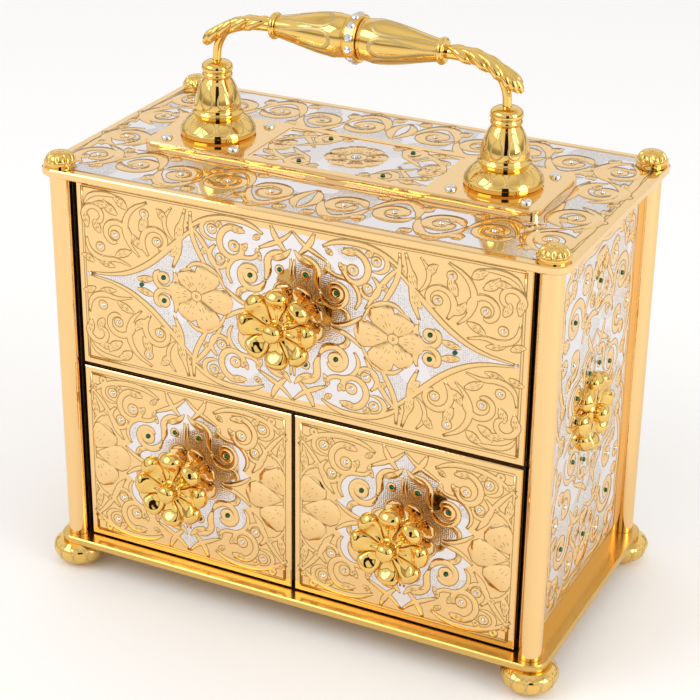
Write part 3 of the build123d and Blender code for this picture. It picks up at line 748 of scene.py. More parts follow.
def upper_leaves():
    return (
        medallion_leaves()
        + corner_leaves()
        + [
            petal(44.4, 0.0, 180, 16.4, 9.4),
            petal(45.2, 1.2, 118, 15.2, 9.4),
            petal(46.6, 1.2, 62, 12.0, 7.6),
            petal(47.2, 0.0, 0, 12.6, 8.0),
            leaf(53.5, 24.0, -70, 9.0, 3.6, 2.2),
            leaf(52.6, 33.0, -80, 9.5, 3.2, 1.6),
            leaf(66.5, 4.0, -12, 9.5, 2.4, 0.4),
            leaf(60.0, 31.0, 60, 7.0, 2.8, -1.4),
            leaf(73.0, 24.5, 118, 9.0, 3.2, -1.8),
            leaf(71.4, 16.4, 40, 8.5, 3.0, 1.6),
            leaf(79.0, 33.5, 40, 8.0, 3.2, -1.6),
            leaf(84.0, 30.0, 30, 9.0, 3.2, 2.0),
            leaf(77.5, 14.5, -20, 9.5, 2.8, -1.4),
            leaf(93.0, 20.0, 60, 7.0, 2.8, 1.2),
            leaf(96.5, 6.0, 30, 7.0, 2.4, -1.4),
            leaf(99.6, 21.5, 85, 8.5, 2.6, -1.2),
            leaf(88.5, 34.0, -10, 7.5, 2.6, 1.2),
            leaf(86.0, 5.6, 8, 9.0, 2.0, 0.6),
        ]
    )


FIELD_EDGE = (
    (0, 38, "cusp"), (14, 37.2), (28, 37.0), (42, 33), (52, 26), (62, 16.6), (74, 7.2),
    (86, 2.2), (99, 0, "cusp"),
)


def rounded_field(half_x, half_y, corner):
    """Outline of a round-cornered sheet."""
    near = corner * 0.3
    return round_outline(
        (
            (0, half_y, "cusp"), (half_x - corner, half_y, "cusp"), (half_x - near, half_y - near),
            (half_x, half_y - corner, "cusp"), (half_x, 0, "cusp"),
        )
    )


def side_bands():
    """One quarter of a side panel: the medallion, then scrolls up to a leaf fan."""
    return medallion_bands() + [
        curl(28.5, 53, 10.6, 3.6, 215, -400, 2.3, 1.7),
        eye(28.5, 53),
        curl(26.5, 33.5, 7.2, 3.4, 320, -300, 2.0, 1.5),
        eye(26.5, 33.5),
        curl(17.5, 66.5, 6.4, 3.4, 40, 320, 1.9, 1.5),
        eye(17.5, 66.5),
        eye(38.0, 36.5),
        eye(0, 60.5),
        curl(36.5, 71.5, 6.6, 3.2, 170, 330, 1.9, 1.4),
        stroke(0.8, 2.0, 1.2, (0, 45.5), (8, 48.6), (15.5, 45.2), (19.0, 39.5)),
        stroke(0.8, 2.2, 1.0, (40.5, 8), (37.0, 17), (40.8, 26), (43.0, 40), (41.4, 56), (42.6, 66)),
        stroke(0.8, 2.0, 0.9, (0, 78.5), (9, 77.2), (19.5, 78.2), (28.0, 74.2), (31.2, 66.0)),
        stroke(0.7, 1.8, 0.7, (7.5, 72.0), (9.5, 63), (15.8, 55.5), (16.4, 49.5)),
        stroke(0.7, 1.6, 0.6, (36.4, 2.0), (40.8, 6.2), (43.2, 12.5), (42.8, 20.0)),
    ]


def side_leaves():
    return medallion_leaves() + [
        petal(0, 63.6, 90, 12.5, 8.0),
        petal(1.6, 62.4, 48, 10.5, 5.6),
        petal(0, 57.6, -90, 10.0, 6.4),
        leaf(6.0, 51.0, 60, 9.5, 4.2, 1.6),
        leaf(33.5, 44.5, 20, 9.0, 3.8, 1.8),
        leaf(31.0, 64.5, 78, 9.5, 4.0, -2.0),
        leaf(20.5, 47.0, 150, 8.0, 3.6, 1.6),
        leaf(35.4, 24.5, 150, 8.5, 3.8, -1.8),
        leaf(21.5, 74.6, 20, 8.5, 3.6, 1.4),
        leaf(41.2, 62.0, 105, 9.0, 3.8, 1.6),
        leaf(34.5, 12.5, 60, 8.5, 4.0, 1.8),
        leaf(38.8, 78.2, -160, 8.5, 3.4, -1.6),
        leaf(12.0, 40.5, 100, 7.5, 3.4, -1.4),
        leaf(31.5, 0.8, 10, 8.5, 3.6, 1.2),
    ]


def insert_bands():
    return [
        ring(0, 0, 3.4, 2.4),
        curl(19.7, 15.3, 6.6, 3.4, 250, 330, 1.9, 1.5),
        eye(19.7, 15.3),
        stroke(0.8, 1.7, 0.8, (14.5, 19.6), (18.5, 10.0), (24.5, 5.6), (29.5, 1.0)),
        stroke(0.8, 1.7, 0.8, (9.0, 19.6), (17.5, 18.6), (28.5, 14.5), (38.0, 6.0), (41.0, 0.6)),
        stroke(0.8, 1.6, 0.8, (40.6, 17.5), (34.0, 16.8), (28.0, 10.5), (21.0, 2.0)),
    ]


def insert_leaves():
    return [petal(*at_angle(3.6, a), a, 10.4, 6.6) for a in PETAL_ANGLES] + [
        petal(41.0, 0.6, 164, 11.5, 6.4),
        leaf(27.0, 16.4, 8, 10.0, 3.6, -1.2),
        leaf(33.0, 13.0, -38, 8.5, 3.4, 1.2),
        leaf(12.5, 14.5, 100, 5.5, 3.0, 1.0),
    ]


engrave(
    "upper_drawer", "upper_front", "front", "upper_drawer", upper_bands(), upper_leaves(),
    weights=(1.5, 1.3), ground=round_outline(FIELD_EDGE), frame_line=(101.5, 40.6, 0.7),
)
for drawer in ("lower_left", "lower_right"):
    engrave(
        f"{drawer}_drawer", f"{drawer}_front", "front", f"{drawer}_drawer",
        lower_bands(), lower_leaves(),
        weights=(1.45, 1.25), ground=round_outline(MEDALLION_EDGE), frame_line=(48.6, 40.1, 0.7),
    )
for side in ("left", "right"):
    engrave(
        f"side_{side}", f"side_panel_{side}", side, "case", side_bands(), side_leaves(),
        weights=(1.75, 1.6), ground=rounded_field(44.6, 81.0, 4.0), frame_line=(44.6, 81.0, 0.8),
    )
engrave(
    "insert", "handle_insert", "top", "case", insert_bands(), insert_leaves(),
    weights=(1.8, 1.5), ground=rounded_field(40.6, 19.2, 1.5),
)

long_bands, long_leaves, long_eyes = running_scroll(6, 44.5, 0, 21.5, 4, 14.5)
end_bands, end_leaves, end_eyes = running_scroll(104.5, 3, 90, 25.5, 2, 9.6, -1)
lid_eyes = long_eyes + end_eyes
lid_lines = [
    stroke(0.8, 2.0, 1.0, (0, 57), (4, 50), (3.4, 42), (0, 35)),
    stroke(0.7, 1.7, 0.7, (0, 27.4), (14, 28.2), (32, 27.4), (50, 28.4), (70, 27.4), (92, 28.4)),
    stroke(0.7, 1.7, 0.7, (94.6, 0), (95.4, 9), (94.6, 18), (96.0, 26)),
    stroke(0.7, 1.7, 0.7, (114.2, 0), (113.4, 12), (114.2, 26), (113.4, 40), (114.0, 50)),
]
engrave(
    "lid", "top_plate", "top", "case", long_bands + end_bands + lid_lines, long_leaves + end_leaves,
    weights=(2.4, 2.0), ground=rounded_field(115.6, 62.1, 5.0), frame_line=(115.6, 62.1, 0.7),
)

row_bands, row_leaves, _ = running_scroll(2, 62, 0, 24, 4, 14.5)
BACK_SCALE = 0.98
engrave(
    "back", "back_panel", "back", "case",
    scaled(upper_bands(), BACK_SCALE) + row_bands, scaled(upper_leaves(), BACK_SCALE) + row_leaves,
    weights=(1.55, 1.5), ground=rounded_field(101.5, 83.0, 4.0), frame_line=(101.5, 83.0, 0.9),
)


# ---- turned work ---------------------------------------------------------------------------
def flowing(points, steps=5):
    """A smooth open line through points (a, b); a point marked 'cusp' keeps its corner."""
    line = [tuple(points[0][:2])]
    for i in range(len(points) - 1):
        p1, p2 = points[i], points[i + 1]
        p0 = points[i - 1] if i > 0 and len(p1) == 2 else p1
        p3 = points[i + 2] if i + 2 < len(points) and len(p2) == 2 else p2
        for k in range(1, steps + 1):
            t = k / steps
            line.append(
                tuple(
                    0.5
                    * (
                        2 * p1[j]
                        + (p2[j] - p0[j]) * t
                        + (2 * p0[j] - 5 * p1[j] + 4 * p2[j] - p3[j]) * t * t
                        + (3 * p1[j] - p0[j] - 3 * p2[j] + p3[j]) * t**3
                    )
                    for j in (0, 1)
                )
            )
    return line


def new_piece(name, mesh_maker):
    """An object whose mesh is filled by mesh_maker, with doubles merged and faces outward."""
    mesh = bpy.data.meshes.new(name)
    work = bmesh.new()
    mesh_maker(work)
    bmesh.ops.remove_doubles(work, verts=work.verts, dist=0.0008)
    bmesh.ops.recalc_face_normals(work, faces=work.faces)
    work.to_mesh(mesh)
    work.free()
    piece = bpy.data.objects.new(name, mesh)
    bpy.context.scene.collection.objects.link(piece)
    return piece


def turned(name, profile, steps=64):
    """A solid of revolution about Z from (radius, height) points, in millimetres."""

    def spin(work):
        chain = [work.verts.new((r, 0, z)) for r, z in profile]
        edges = [work.edges.new(pair) for pair in zip(chain, chain[1:])]
        bmesh.ops.spin(
            work, geom=chain + edges, axis=(0, 0, 1), cent=(0, 0, 0), angle=2 * math.pi, steps=steps
        )

    return new_piece(name, spin)


def fluted(piece, count, depth, low, high):
    """Cuts count shallow grooves between two heights of a turned piece."""
    for vertex in piece.data.vertices:
        x, y, z = vertex.co
        if low <= z <= high:
            angle = math.atan2(y, x)
            groove = (1 - abs(math.sin(count * angle / 2))) ** 3
            fade = math.sin(math.pi * (z - low) / (high - low)) ** 0.5
            shrink = 1 - depth * groove * fade
            vertex.co = (x * shrink, y * shrink, z)


def round_surface(profile, reference):
    """Maps (arc at the reference radius, length along the profile, height) onto a turned piece."""
    lengths = [0.0]
    for (ra, za), (rb, zb) in zip(profile, profile[1:]):
        lengths.append(lengths[-1] + math.hypot(rb - ra, zb - za))

    def surface(x, y, z):
        y = min(max(y, 0.0), lengths[-1] - 0.001)
        i = max(k for k, reach in enumerate(lengths[:-1]) if reach <= y)
        (ra, za), (rb, zb) = profile[i], profile[i + 1]
        run = lengths[i + 1] - lengths[i]
        t = (y - lengths[i]) / run
        radius = ra + (rb - ra) * t + (zb - za) / run * z
        height = za + (zb - za) * t - (rb - ra) / run * z
        angle = x / reference
        return Vector((radius * math.cos(angle), radius * math.sin(angle), height))

    return surface


def wrap(piece, surface):
    for vertex in piece.data.vertices:
        vertex.co = surface(*vertex.co)


def stand_at(piece, origin, right=(1, 0, 0), up=(0, 1, 0), out=(0, 0, 1)):
    """Carries a piece built round Z in millimetres to its place in the frame."""
    lay_on(piece, (Vector(origin), Vector(right), Vector(up), Vector(out)))
    return piece


def smooth(piece, angle=35):
    pick([piece])
    bpy.ops.object.shade_smooth_by_angle(angle=math.radians(angle))
    return piece


def twin(piece, name):
    """A copy with its own mesh."""
    copy = piece.copy()
    copy.data = piece.data.copy()
    copy.name = name
    bpy.context.scene.collection.objects.link(copy)
    return copy


def joined(name, pieces):
    pick(pieces)
    bpy.ops.object.join()
    pieces[0].name = name
    return pieces[0]


def middle_of(node):
    low, high = box_of(node)
    return (low + high) / 2


def foot_of(node):
    """Middle of a node's underside."""
    low, high = box_of(node)
    return Vector(((low.x + high.x) / 2, (low.y + high.y) / 2, low.z))


def faces_outward(piece):
    """Turns a mirrored piece's faces outward again."""
    work = bmesh.new()
    work.from_mesh(piece.data)
    bmesh.ops.recalc_face_normals(work, faces=work.faces)
    work.to_mesh(piece.data)
    work.free()


def dress_case(piece, material, node=None):
    """A gilt piece of the case, in place of its node if it has one."""
    dress(piece, "case", "polished_gilt", material)
    if node:
        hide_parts(node)


def wound_relief(name, drawn, count, reference, profile, rise, hangs_from=None):
    """A matt line repeated round a turned piece; if it hangs, it runs down from that height."""
    pitch = 2 * math.pi * reference / count
    strokes = [
        [p if p == "closed" else (p[0] + pitch * i, *p[1:]) for p in drawn] for i in range(count)
    ]
    lines = relief(name, strokes, rise)
    if hangs_from:
        for vertex in lines.data.vertices:
            vertex.co.y = hangs_from - vertex.co.y
    wrap(lines, round_surface(flowing(profile), reference))
    return lines


# ---- columns and feet ------------------------------------------------------------------------
def column(corner):
    node = f"column_{corner}"
    low, high = box_of(node)
    length = (high.z - low.z) / MM
    bore, body, edge = 2.2, 5.0, 0.25
    profile = [
        (bore, 0), (body - edge, 0), (body, edge), (body, length / 2), (body, length - edge),
        (body - edge, length), (bore, length), (bore, 0),
    ]
    piece = smooth(turned(f"{node}_turned", profile, 72))
    stand_at(piece, foot_of(node))
    dress_case(piece, SATIN, node)


def round_leaf(width, height, line):
    """Outline of one upright leaf with a round top, drawn from its foot."""
    half = width / 2
    return [
        (-half * 0.5, 0, line), (-half * 0.92, height * 0.35, line), (-half, height * 0.65, line),
        (-half * 0.6, height * 0.93, line), (0, height, line), (half * 0.6, height * 0.93, line),
        (half, height * 0.65, line), (half * 0.92, height * 0.35, line), (half * 0.5, 0, line),
    ]


def foot(corner):
    node = f"foot_{corner}"
    flank = [(9.3, 1.9), (11.5, 4.4), (12.45, 7.6), (12.0, 9.9)]
    body = flowing(
        [
            (0, 0, "cusp"), (6.6, 0, "cusp"), (6.9, 0.7, "cusp"), *flank, (9.5, 12.0, "cusp"),
            (0, 12.0, "cusp"),
        ]
    )
    piece = smooth(turned(f"{node}_turned", body, 64))
    stand_at(piece, foot_of(node))
    dress_case(piece, GOLD, node)
    leaves = wound_relief(
        f"{node}_leaves", round_leaf(5.4, 8.6, 0.6), 12, 11.5, flank + [(9.5, 12.0)], 0.22, 10.8
    )
    faces_outward(leaves)
    stand_at(leaves, foot_of(node))
    dress_case(leaves, MATT)


for corner in ("front_left", "front_right", "back_left", "back_right"):
    column(corner)
    foot(corner)


# ---- corner rosettes on the lid ------------------------------------------------------------
def corner_rosettes():
    low, high = box_of("corner_rosettes")
    rim = 7.1 * MM
    places = [(x, y) for y in (low.y + rim, high.y - rim) for x in (low.x + rim, high.x - rim)]
    made = []
    profile = flowing(
        [
            (0, 0, "cusp"), (6.4, 0, "cusp"), (6.4, 0.9, "cusp"), (5.9, 1.3, "cusp"),
            (7.05, 1.3, "cusp"), (7.05, 2.0, "cusp"), (6.3, 2.2, "cusp"), (6.1, 3.4), (4.9, 5.0),
            (2.9, 5.9), (1.6, 6.0, "cusp"), (1.5, 6.2), (0, 6.35),
        ],
        4,
    )
    for i, (x, y) in enumerate(places):
        cap = turned(f"cap_{i}", profile, 88)
        fluted(cap, count=10, depth=0.24, low=2.25, high=5.97)
        made.append(smooth(stand_at(cap, (x, y, low.z)), 50))
    piece = joined("corner_rosettes_petalled", made)
    dress_case(piece, GOLD, "corner_rosettes")


corner_rosettes()


# ---- pedestals -------------------------------------------------------------------------------
DROP = (
    (0, 12.2, 0.7), (1.0, 9.2, 0.8), (2.3, 5.6, 0.9), (2.4, 3.4, 0.9), (1.4, 1.9, 0.9),
    (0, 1.4, 0.9), (-1.4, 1.9, 0.9), (-2.4, 3.4, 0.9), (-2.3, 5.6, 0.9), (-1.0, 9.2, 0.8), "closed",
)


def pedestal(node):
    skirt = [(15.6, 4.4), (13.3, 6.9)]
    bell = [(10.1, 15.2), (9.3, 18.6), (8.1, 21.8)]
    body = flowing(
        [
            (2.2, 0, "cusp"), (16.0, 0, "cusp"), (16.7, 0.9, "cusp"), (16.7, 2.4, "cusp"), *skirt,
            (10.4, 8.6, "cusp"), (10.8, 9.2, "cusp"), (11.4, 10.2), (10.8, 11.2, "cusp"),
            (10.3, 12.2, "cusp"), *bell, (6.4, 25.0, "cusp"), (6.1, 25.6, "cusp"), (6.8, 26.9),
            (6.1, 28.3, "cusp"), (6.85, 29.0), (6.9, 30.4), (6.3, 31.7), (4.9, 32.7), (3.2, 33.2),
            (2.0, 33.38, "cusp"), (2.0, 30, "cusp"), (2.2, 29, "cusp"), (2.2, 0, "cusp"),
        ],
        4,
    )
    piece = smooth(turned(f"{node}_turned", body, 80))
    stand_at(piece, foot_of(node))
    dress_case(piece, GOLD, node)
    bell_line = [(10.3, 12.2), *bell, (6.4, 25.0)]
    skirt_line = [(16.7, 2.4), *skirt, (10.4, 8.6)]
    drops = wound_relief(f"{node}_drops", DROP, 8, 9.4, bell_line, 0.16)
    leaves = wound_relief(
        f"{node}_skirt_leaves", round_leaf(5.2, 6.4, 0.7), 14, 14.0, skirt_line, 0.16, 7.6
    )
    lines = joined(f"{node}_matt_lines", [drops, leaves])
    faces_outward(lines)
    stand_at(lines, foot_of(node))
    dress_case(lines, MATT)


pedestal("pedestal_left")
pedestal("pedestal_right")


# ---- grip ------------------------------------------------------------------------------------
grip_middle = middle_of("centre_ring")


def set_on_grip(piece, side):
    """Lays a turned piece along the grip; its own Z runs outward from the ring."""
    stand_at(piece, grip_middle, (0, side, 0), (0, 0, 1), (side, 0, 0))
    faces_outward(piece)


ARCH = (
    (0, 33.5, 1.0), (1.3, 27.5, 1.3), (2.9, 18.0, 1.6), (3.4, 11.0, 1.8), (2.6, 6.8, 1.8),
    (0, 4.9, 1.8), (-2.6, 6.8, 1.8), (-3.4, 11.0, 1.8), (-2.9, 18.0, 1.6), (-1.3, 27.5, 1.3),
    "closed",
)


def barrel(node, side):
    """Barrel half of the grip, from the ring to the collar."""
    flank = [(9.3, 8.5), (9.0, 15.0), (7.7, 22.5), (6.0, 30.0), (4.7, 36.6)]
    body = flowing(
        [
            (2.2, 2.6, "cusp"), (8.2, 2.6, "cusp"), (8.9, 3.2), (8.5, 3.9, "cusp"),
            (8.8, 4.3, "cusp"), *flank, (4.6, 37.2, "cusp"), (2.2, 37.2, "cusp"),
            (2.2, 2.6, "cusp"),
        ],
        4,
    )
    piece = smooth(turned(f"{node}_turned", body, 72))
    arches = wound_relief(f"{node}_arches", ARCH, 6, 8.2, [(8.8, 4.3), *flank], 0.14)
    set_on_grip(piece, side)
    dress_case(piece, GOLD, node)
    set_on_grip(arches, side)
    dress_case(arches, MATT)


barrel("grip_left", -1)
barrel("grip_right", 1)


def collars():
    made = []
    profile = flowing(
        [
            (2.2, 37.2, "cusp"), (4.6, 37.2, "cusp"), (5.4, 37.5), (5.85, 38.6), (5.4, 39.7),
            (4.6, 40.2, "cusp"), (4.4, 40.35, "cusp"), (2.2, 40.4, "cusp"), (2.2, 37.2, "cusp"),
        ],
        4,
    )
    for side in (-1, 1):
        collar = turned(f"collar_{side}", profile, 56)
        set_on_grip(collar, side)
        made.append(smooth(collar))
    piece = joined("grip_collars_turned", made)
    dress_case(piece, GOLD, "grip_collars")


collars()


# ---- knobs and side rosettes -----------------------------------------------------------------
def spoon_petal(work):
    """One hollow-rooted, round-headed petal along X, closed underneath."""
    along, across = 18, 12
    root, tip = 3.6, 18.15
    broadest_at = 0.74
    edge_height = 0.9
    grid = []
    for i in range(along + 1):
        t = i / along
        half = 1.5 + 3.7 * math.sin(min(1.0, t / broadest_at) * math.pi / 2) ** 1.6
        if t > broadest_at:
            half *= math.sqrt(max(0.0, 1 - ((t - broadest_at) / (1 - broadest_at)) ** 2))
        head = math.exp(-(((t - broadest_at) / 0.2) ** 2))
        row = []
        for j in range(across + 1):
            s = -1 + 2 * j / across
            dome = (0.9 + 3.1 * head) * (1 - s * s) ** 0.6
            hollow = 1.17 * math.exp(-((s / 0.4) ** 2)) * (1 - head) * (1 - t)
            rim = 0.35 * math.exp(-(((abs(s) - 0.8) / 0.14) ** 2)) * (1 - t * 0.4)
            fall = 0.0 if t < 0.97 else 0.3
            height = edge_height + dome - hollow + rim - fall if half > 0.05 else edge_height
            row.append(work.verts.new((root + (tip - root) * t, half * s, height)))
        grid.append(row)
    low = [[work.verts.new((v.co.x, v.co.y * 0.97, 0.02)) for v in row] for row in grid]
    for i in range(along):
        for j in range(across):
            work.faces.new((grid[i][j], grid[i + 1][j], grid[i + 1][j + 1], grid[i][j + 1]))
            work.faces.new((low[i][j], low[i][j + 1], low[i + 1][j + 1], low[i + 1][j]))
        work.faces.new((grid[i][0], low[i][0], low[i + 1][0], grid[i + 1][0]))
        work.faces.new((grid[i][across], grid[i + 1][across], low[i + 1][across], low[i][across]))
    for j in range(across):
        work.faces.new((grid[0][j], grid[0][j + 1], low[0][j + 1], low[0][j]))
        work.faces.new((grid[along][j], low[along][j], low[along][j + 1], grid[along][j + 1]))


FLOWER_HEIGHT = 8.5
FLOWER_SEAT = 1.95


def rosette(name):
    """Eight spoon petals round a hub and ball, petals on XY and a short seat behind."""
    first = new_piece("petal_0", spoon_petal)
    made = [first]
    for i in range(1, 8):
        petal_copy = twin(first, f"petal_{i}")
        petal_copy.data.transform(Matrix.Rotation(i * math.pi / 4, 4, "Z"))
        made.append(petal_copy)
    hub = turned(
        "hub",
        flowing(
            [
                (0, -FLOWER_SEAT, "cusp"), (4.6, -FLOWER_SEAT, "cusp"), (4.6, 0, "cusp"),
                (5.2, 0, "cusp"), (5.0, 1.2), (4.3, 2.0, "cusp"), (4.1, 2.6), (4.35, 4.3),
                (3.9, 6.3), (2.4, 7.9), (0, 8.5),
            ],
            4,
        ),
        40,
    )
    return smooth(joined(name, made + [hub]), 50)


flower = rosette("flower_pattern")
for drawer in drawer_names:
    knob = twin(flower, f"{drawer}_knob_flower")
    low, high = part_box(f"{drawer}_knob_rosette")
    middle = middle_of(f"{drawer}_knob_rosette")
    petal_y = low[1] + FLOWER_HEIGHT * MM
    stand_at(knob, (middle.x, petal_y, middle.z), (1, 0, 0), (0, 0, 1), (0, -1, 0))
    dress(knob, f"{drawer}_drawer", "polished_gilt", GOLD)
    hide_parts(f"{drawer}_knob_rosette")
for side, direction in (("left", -1), ("right", 1)):
    flower_copy = twin(flower, f"side_flower_{side}")
    panel_low, panel_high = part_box(f"side_panel_{side}")
    middle = middle_of(f"side_panel_{side}")
    face_x = panel_high[0] if direction > 0 else panel_low[0]
    seat = (face_x, middle.y, middle.z)
    stand_at(flower_copy, seat, (0, direction, 0), (0, 0, 1), (direction, 0, 0))
    dress_case(flower_copy, GOLD, f"side_rosette_{side}")
bpy.data.objects.remove(flower)


# ---- handle arms -------------------------------------------------------------------------------
def tube(name, points):
    """A round bar along a smooth line; each point is (x, y, z, radius) in millimetres."""
    piece, line = new_curve(name, "3D")
    line.bevel_depth = 1.0
    line.bevel_resolution = 6
    line.use_fill_caps = True
    lay_knots(line, [point[:3] for point in points], [point[3] for point in points], steps=8)
    return to_mesh(piece)


def bent_rod():
    """The arm's rod, X outward and Z up from the lid, bent through a quarter turn."""
    bend, axis_x, axis_z = 17.5, 67.5, 55.5
    points = [(40.2, 0, axis_z, 1.9), (45, 0, axis_z, 1.9)]
    for i in range(7):
        a = math.radians(90 - 15 * i)
        points.append(
            (axis_x - bend + bend * math.cos(a), 0, axis_z - bend + bend * math.sin(a), 1.95)
        )
    points += [(axis_x, 0, z, 1.95) for z in (30, 0, -6.6)]
    return tube("rod", points)


LEAF_LINE = (
    (40.3, 55.5), (46, 55.6), (53, 55.0), (59.5, 52.9), (65, 50.0), (69, 47.2), (73.0, 43.8),
)


def leaf_spine():
    """Thick midrib of the leaf, from the collar to the flared tip."""
    swell = (2.6, 2.9, 3.1, 3.1, 2.8, 2.2, 1.7)
    return tube("spine", [(x, 0, z - 0.3, r) for (x, z), r in zip(LEAF_LINE, swell)])


def on_leaf_line(reach):
    """Point on the midrib, counted in its stations."""
    k = min(int(reach), len(LEAF_LINE) - 2)
    f = reach - k
    (xa, za), (xb, zb) = LEAF_LINE[k], LEAF_LINE[k + 1]
    return xa + (xb - xa) * f, za + (zb - za) * f


def feather(start, length, turn, width, side):
    """One lobe of the leaf: it leaves the midrib's crest and ends round on the arm's flank."""
    points = []
    for i, swell in enumerate((0.3, 0.62, 0.9, 1.08, 1.1, 0.55)):
        t = i / 5
        x, z = on_leaf_line(start + length * t)
        a = math.radians(12 + turn * t**1.3)
        lift = 2.7 + 0.5 * math.sin(math.pi * t)
        points.append((x, side * lift * math.sin(a), z + lift * math.cos(a) - 0.9, width * swell))
    return tube("feather", points)


def tip_lobe(side, reach, drop):
    """A spoon-shaped end of the leaf, flared away from the rod."""
    return tube(
        "tip",
        [
            (62.0, side * 1.2, 53.4, 0.7), (66.5, side * 1.9, 50.6, 1.5),
            (70.0, side * 2.4, 47.6, 2.0), (reach, side * 2.6, drop, 1.9),
            (reach + 1.2, side * 2.6, drop - 1.5, 0.9),
        ],
    )


def arm(node, side):
    parts = [bent_rod(), leaf_spine()]
    pitch = 1.12
    for k in range(4):
        for flank in (-1, 1):
            parts.append(feather(0.05 + pitch * k, 1.85, 104, 1.75, flank))
            parts.append(feather(0.75 + pitch * k, 1.6, 52, 1.15, flank))
    for flank, reach, drop in ((-1, 71.2, 45.6), (1, 71.2, 45.6), (0, 72.6, 44.6)):
        parts.append(tip_lobe(flank, reach, drop))
    piece = joined(f"{node}_leafed", parts)
    lid = Vector((0, middle_of("top_plate").y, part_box("top_plate")[1][2]))
    stand_at(piece, lid, (side, 0, 0), (0, 1, 0), (0, 0, 1))
    faces_outward(piece)
    smooth(piece, 60)
    dress_case(piece, GOLD, node)


arm("arm_left", -1)
arm("arm_right", 1)


# ---- stones ------------------------------------------------------------------------------------
def stone_spots(node, size):
    """Lowest and highest corner of each stone of a node, found by nearness."""
    spots = []
    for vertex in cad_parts[node].data.vertices:
        for spot in spots:
            if (vertex.co - spot[0]).length < size:
                spot[1].append(vertex.co.copy())
                break
        else:
            spots.append((vertex.co.copy(), [vertex.co.copy()]))
    middles = []
    for first, points in spots:
        low = Vector([min(p[i] for p in points) for i in range(3)])
        high = Vector([max(p[i] for p in points) for i in range(3)])
        middles.append((low, high))
    return middles


def cut_stone(work, radius, height):
    """Eight-sided brilliant: girdle, crown and table."""
    girdle = [
        work.verts.new((radius * math.cos(a), radius * math.sin(a), height * 0.35))
        for a in (i * math.pi / 8 for i in range(16))
    ]
    base = [work.verts.new((v.co.x * 0.9, v.co.y * 0.9, 0)) for v in girdle]
    star = [
        work.verts.new((radius * 0.78 * math.cos(a), radius * 0.78 * math.sin(a), height * 0.76))
        for a in ((i + 0.5) * math.pi / 4 for i in range(8))
    ]
    table = [
        work.verts.new((radius * 0.5 * math.cos(a), radius * 0.5 * math.sin(a), height))
        for a in (i * math.pi / 4 for i in range(8))
    ]
    work.faces.new(table)
    work.faces.new(list(reversed(base)))
    for i in range(16):
        work.faces.new((base[i], base[(i + 1) % 16], girdle[(i + 1) % 16], girdle[i]))
    for i in range(8):
        j = (i + 1) % 8
        a, b, c = girdle[2 * i], girdle[2 * i + 1], girdle[(2 * i + 2) % 16]
        work.faces.new((a, b, star[i]))
        work.faces.new((b, c, star[i]))
        work.faces.new((table[i], star[i], table[j]))
        work.faces.new((table[j], star[i], c))
        work.faces.new((table[j], c, star[j]))


STONE_RADIUS = 1.05
STONE_HEIGHT = 0.95


def stones_on(name, spots, face, body, slot, material, radius=STONE_RADIUS):
    """Cut stones at (x, y) spots of a face, each turned a little further than the last."""
    seat, turn = 0.02, 0.37
    pattern = new_piece(f"{name}_stone", lambda work: cut_stone(work, radius, STONE_HEIGHT))
    made = []
    for i, (x, y) in enumerate(spots):
        stone = twin(pattern, f"{name}_{i}")
        stone.data.transform(Matrix.Translation((x, y, seat)) @ Matrix.Rotation(i * turn, 4, "Z"))
        made.append(stone)
    bpy.data.objects.remove(pattern)
    piece = joined(name, made)
    lay_on(piece, face)
    dress(piece, body, slot, material)
    return piece


def on_face(face, point):
    origin, right, up, out = face
    offset = (point - origin) / MM
    return (offset.dot(right), offset.dot(up))


def reset_stones(node, face, body, slot, material, radius=STONE_RADIUS):
    """Cut stones in place of a node's plain ones."""
    spots = [on_face(face, (low + high) / 2) for low, high in stone_spots(node, 3 * radius * MM)]
    piece = stones_on(f"{node}_cut", spots, face, body, slot, material, radius)
    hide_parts(node)


for drawer in drawer_names:
    drawer_face = face_of(f"{drawer}_front", "front")
    reset_stones(f"{drawer}_green_stones", drawer_face, f"{drawer}_drawer", "green_stone", GREEN)
    reset_stones(f"{drawer}_clear_stones", drawer_face, f"{drawer}_drawer", "clear_crystal", CRYSTAL)
insert_face = face_of("handle_insert", "top")
reset_stones("insert_stones", insert_face, "case", "green_stone", GREEN)
reset_stones("insert_crystal", insert_face, "case", "clear_crystal", CRYSTAL, radius=1.45)


def ring_crystals():
    """Brilliants round the grip's centre ring, tables outward."""
    count, seat_radius = 12, 9.7
    radius, height = 1.8, 1.3
    across = Vector((1, 0, 0))
    made = []
    pattern = new_piece("ring_stone", lambda work: cut_stone(work, radius, height))
    for i in range(count):
        stone = twin(pattern, f"ring_stone_{i}")
        angle = math.radians((i + 0.5) * 360 / count)
        out = Vector((0, math.cos(angle), math.sin(angle)))
        stand_at(stone, grip_middle + out * seat_radius * MM, across, out.cross(across), out)
        made.append(stone)
    bpy.data.objects.remove(pattern)
    piece = joined("ring_crystals_cut", made)
    dress(piece, "case", "clear_crystal", CRYSTAL)
    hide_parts("ring_crystals")


ring_crystals()


def four_places(spots):
    return sorted({(x * sx, y * sy) for x, y in spots for sx in (1, -1) for sy in (1, -1)})


def stone_sets():
    """Stones of the side panels and the lid, four ways from one quarter."""
    side_green = four_places([(0, 60.5), (28.5, 53), (6, 20.4), (20, 15)])
    side_clear = four_places([(26.5, 33.5), (17.5, 66.5), (38.0, 36.5)])
    for side in ("left", "right"):
        face = face_of(f"side_panel_{side}", side)
        stones_on(f"side_{side}_green", side_green, face, "case", "green_stone", GREEN)
        stones_on(f"side_{side}_clear", side_clear, face, "case", "clear_crystal", CRYSTAL)
    lid_face = face_of("top_plate", "top")
    stones_on("lid_clear", four_places(lid_eyes), lid_face, "case", "clear_crystal", CRYSTAL)


stone_sets()


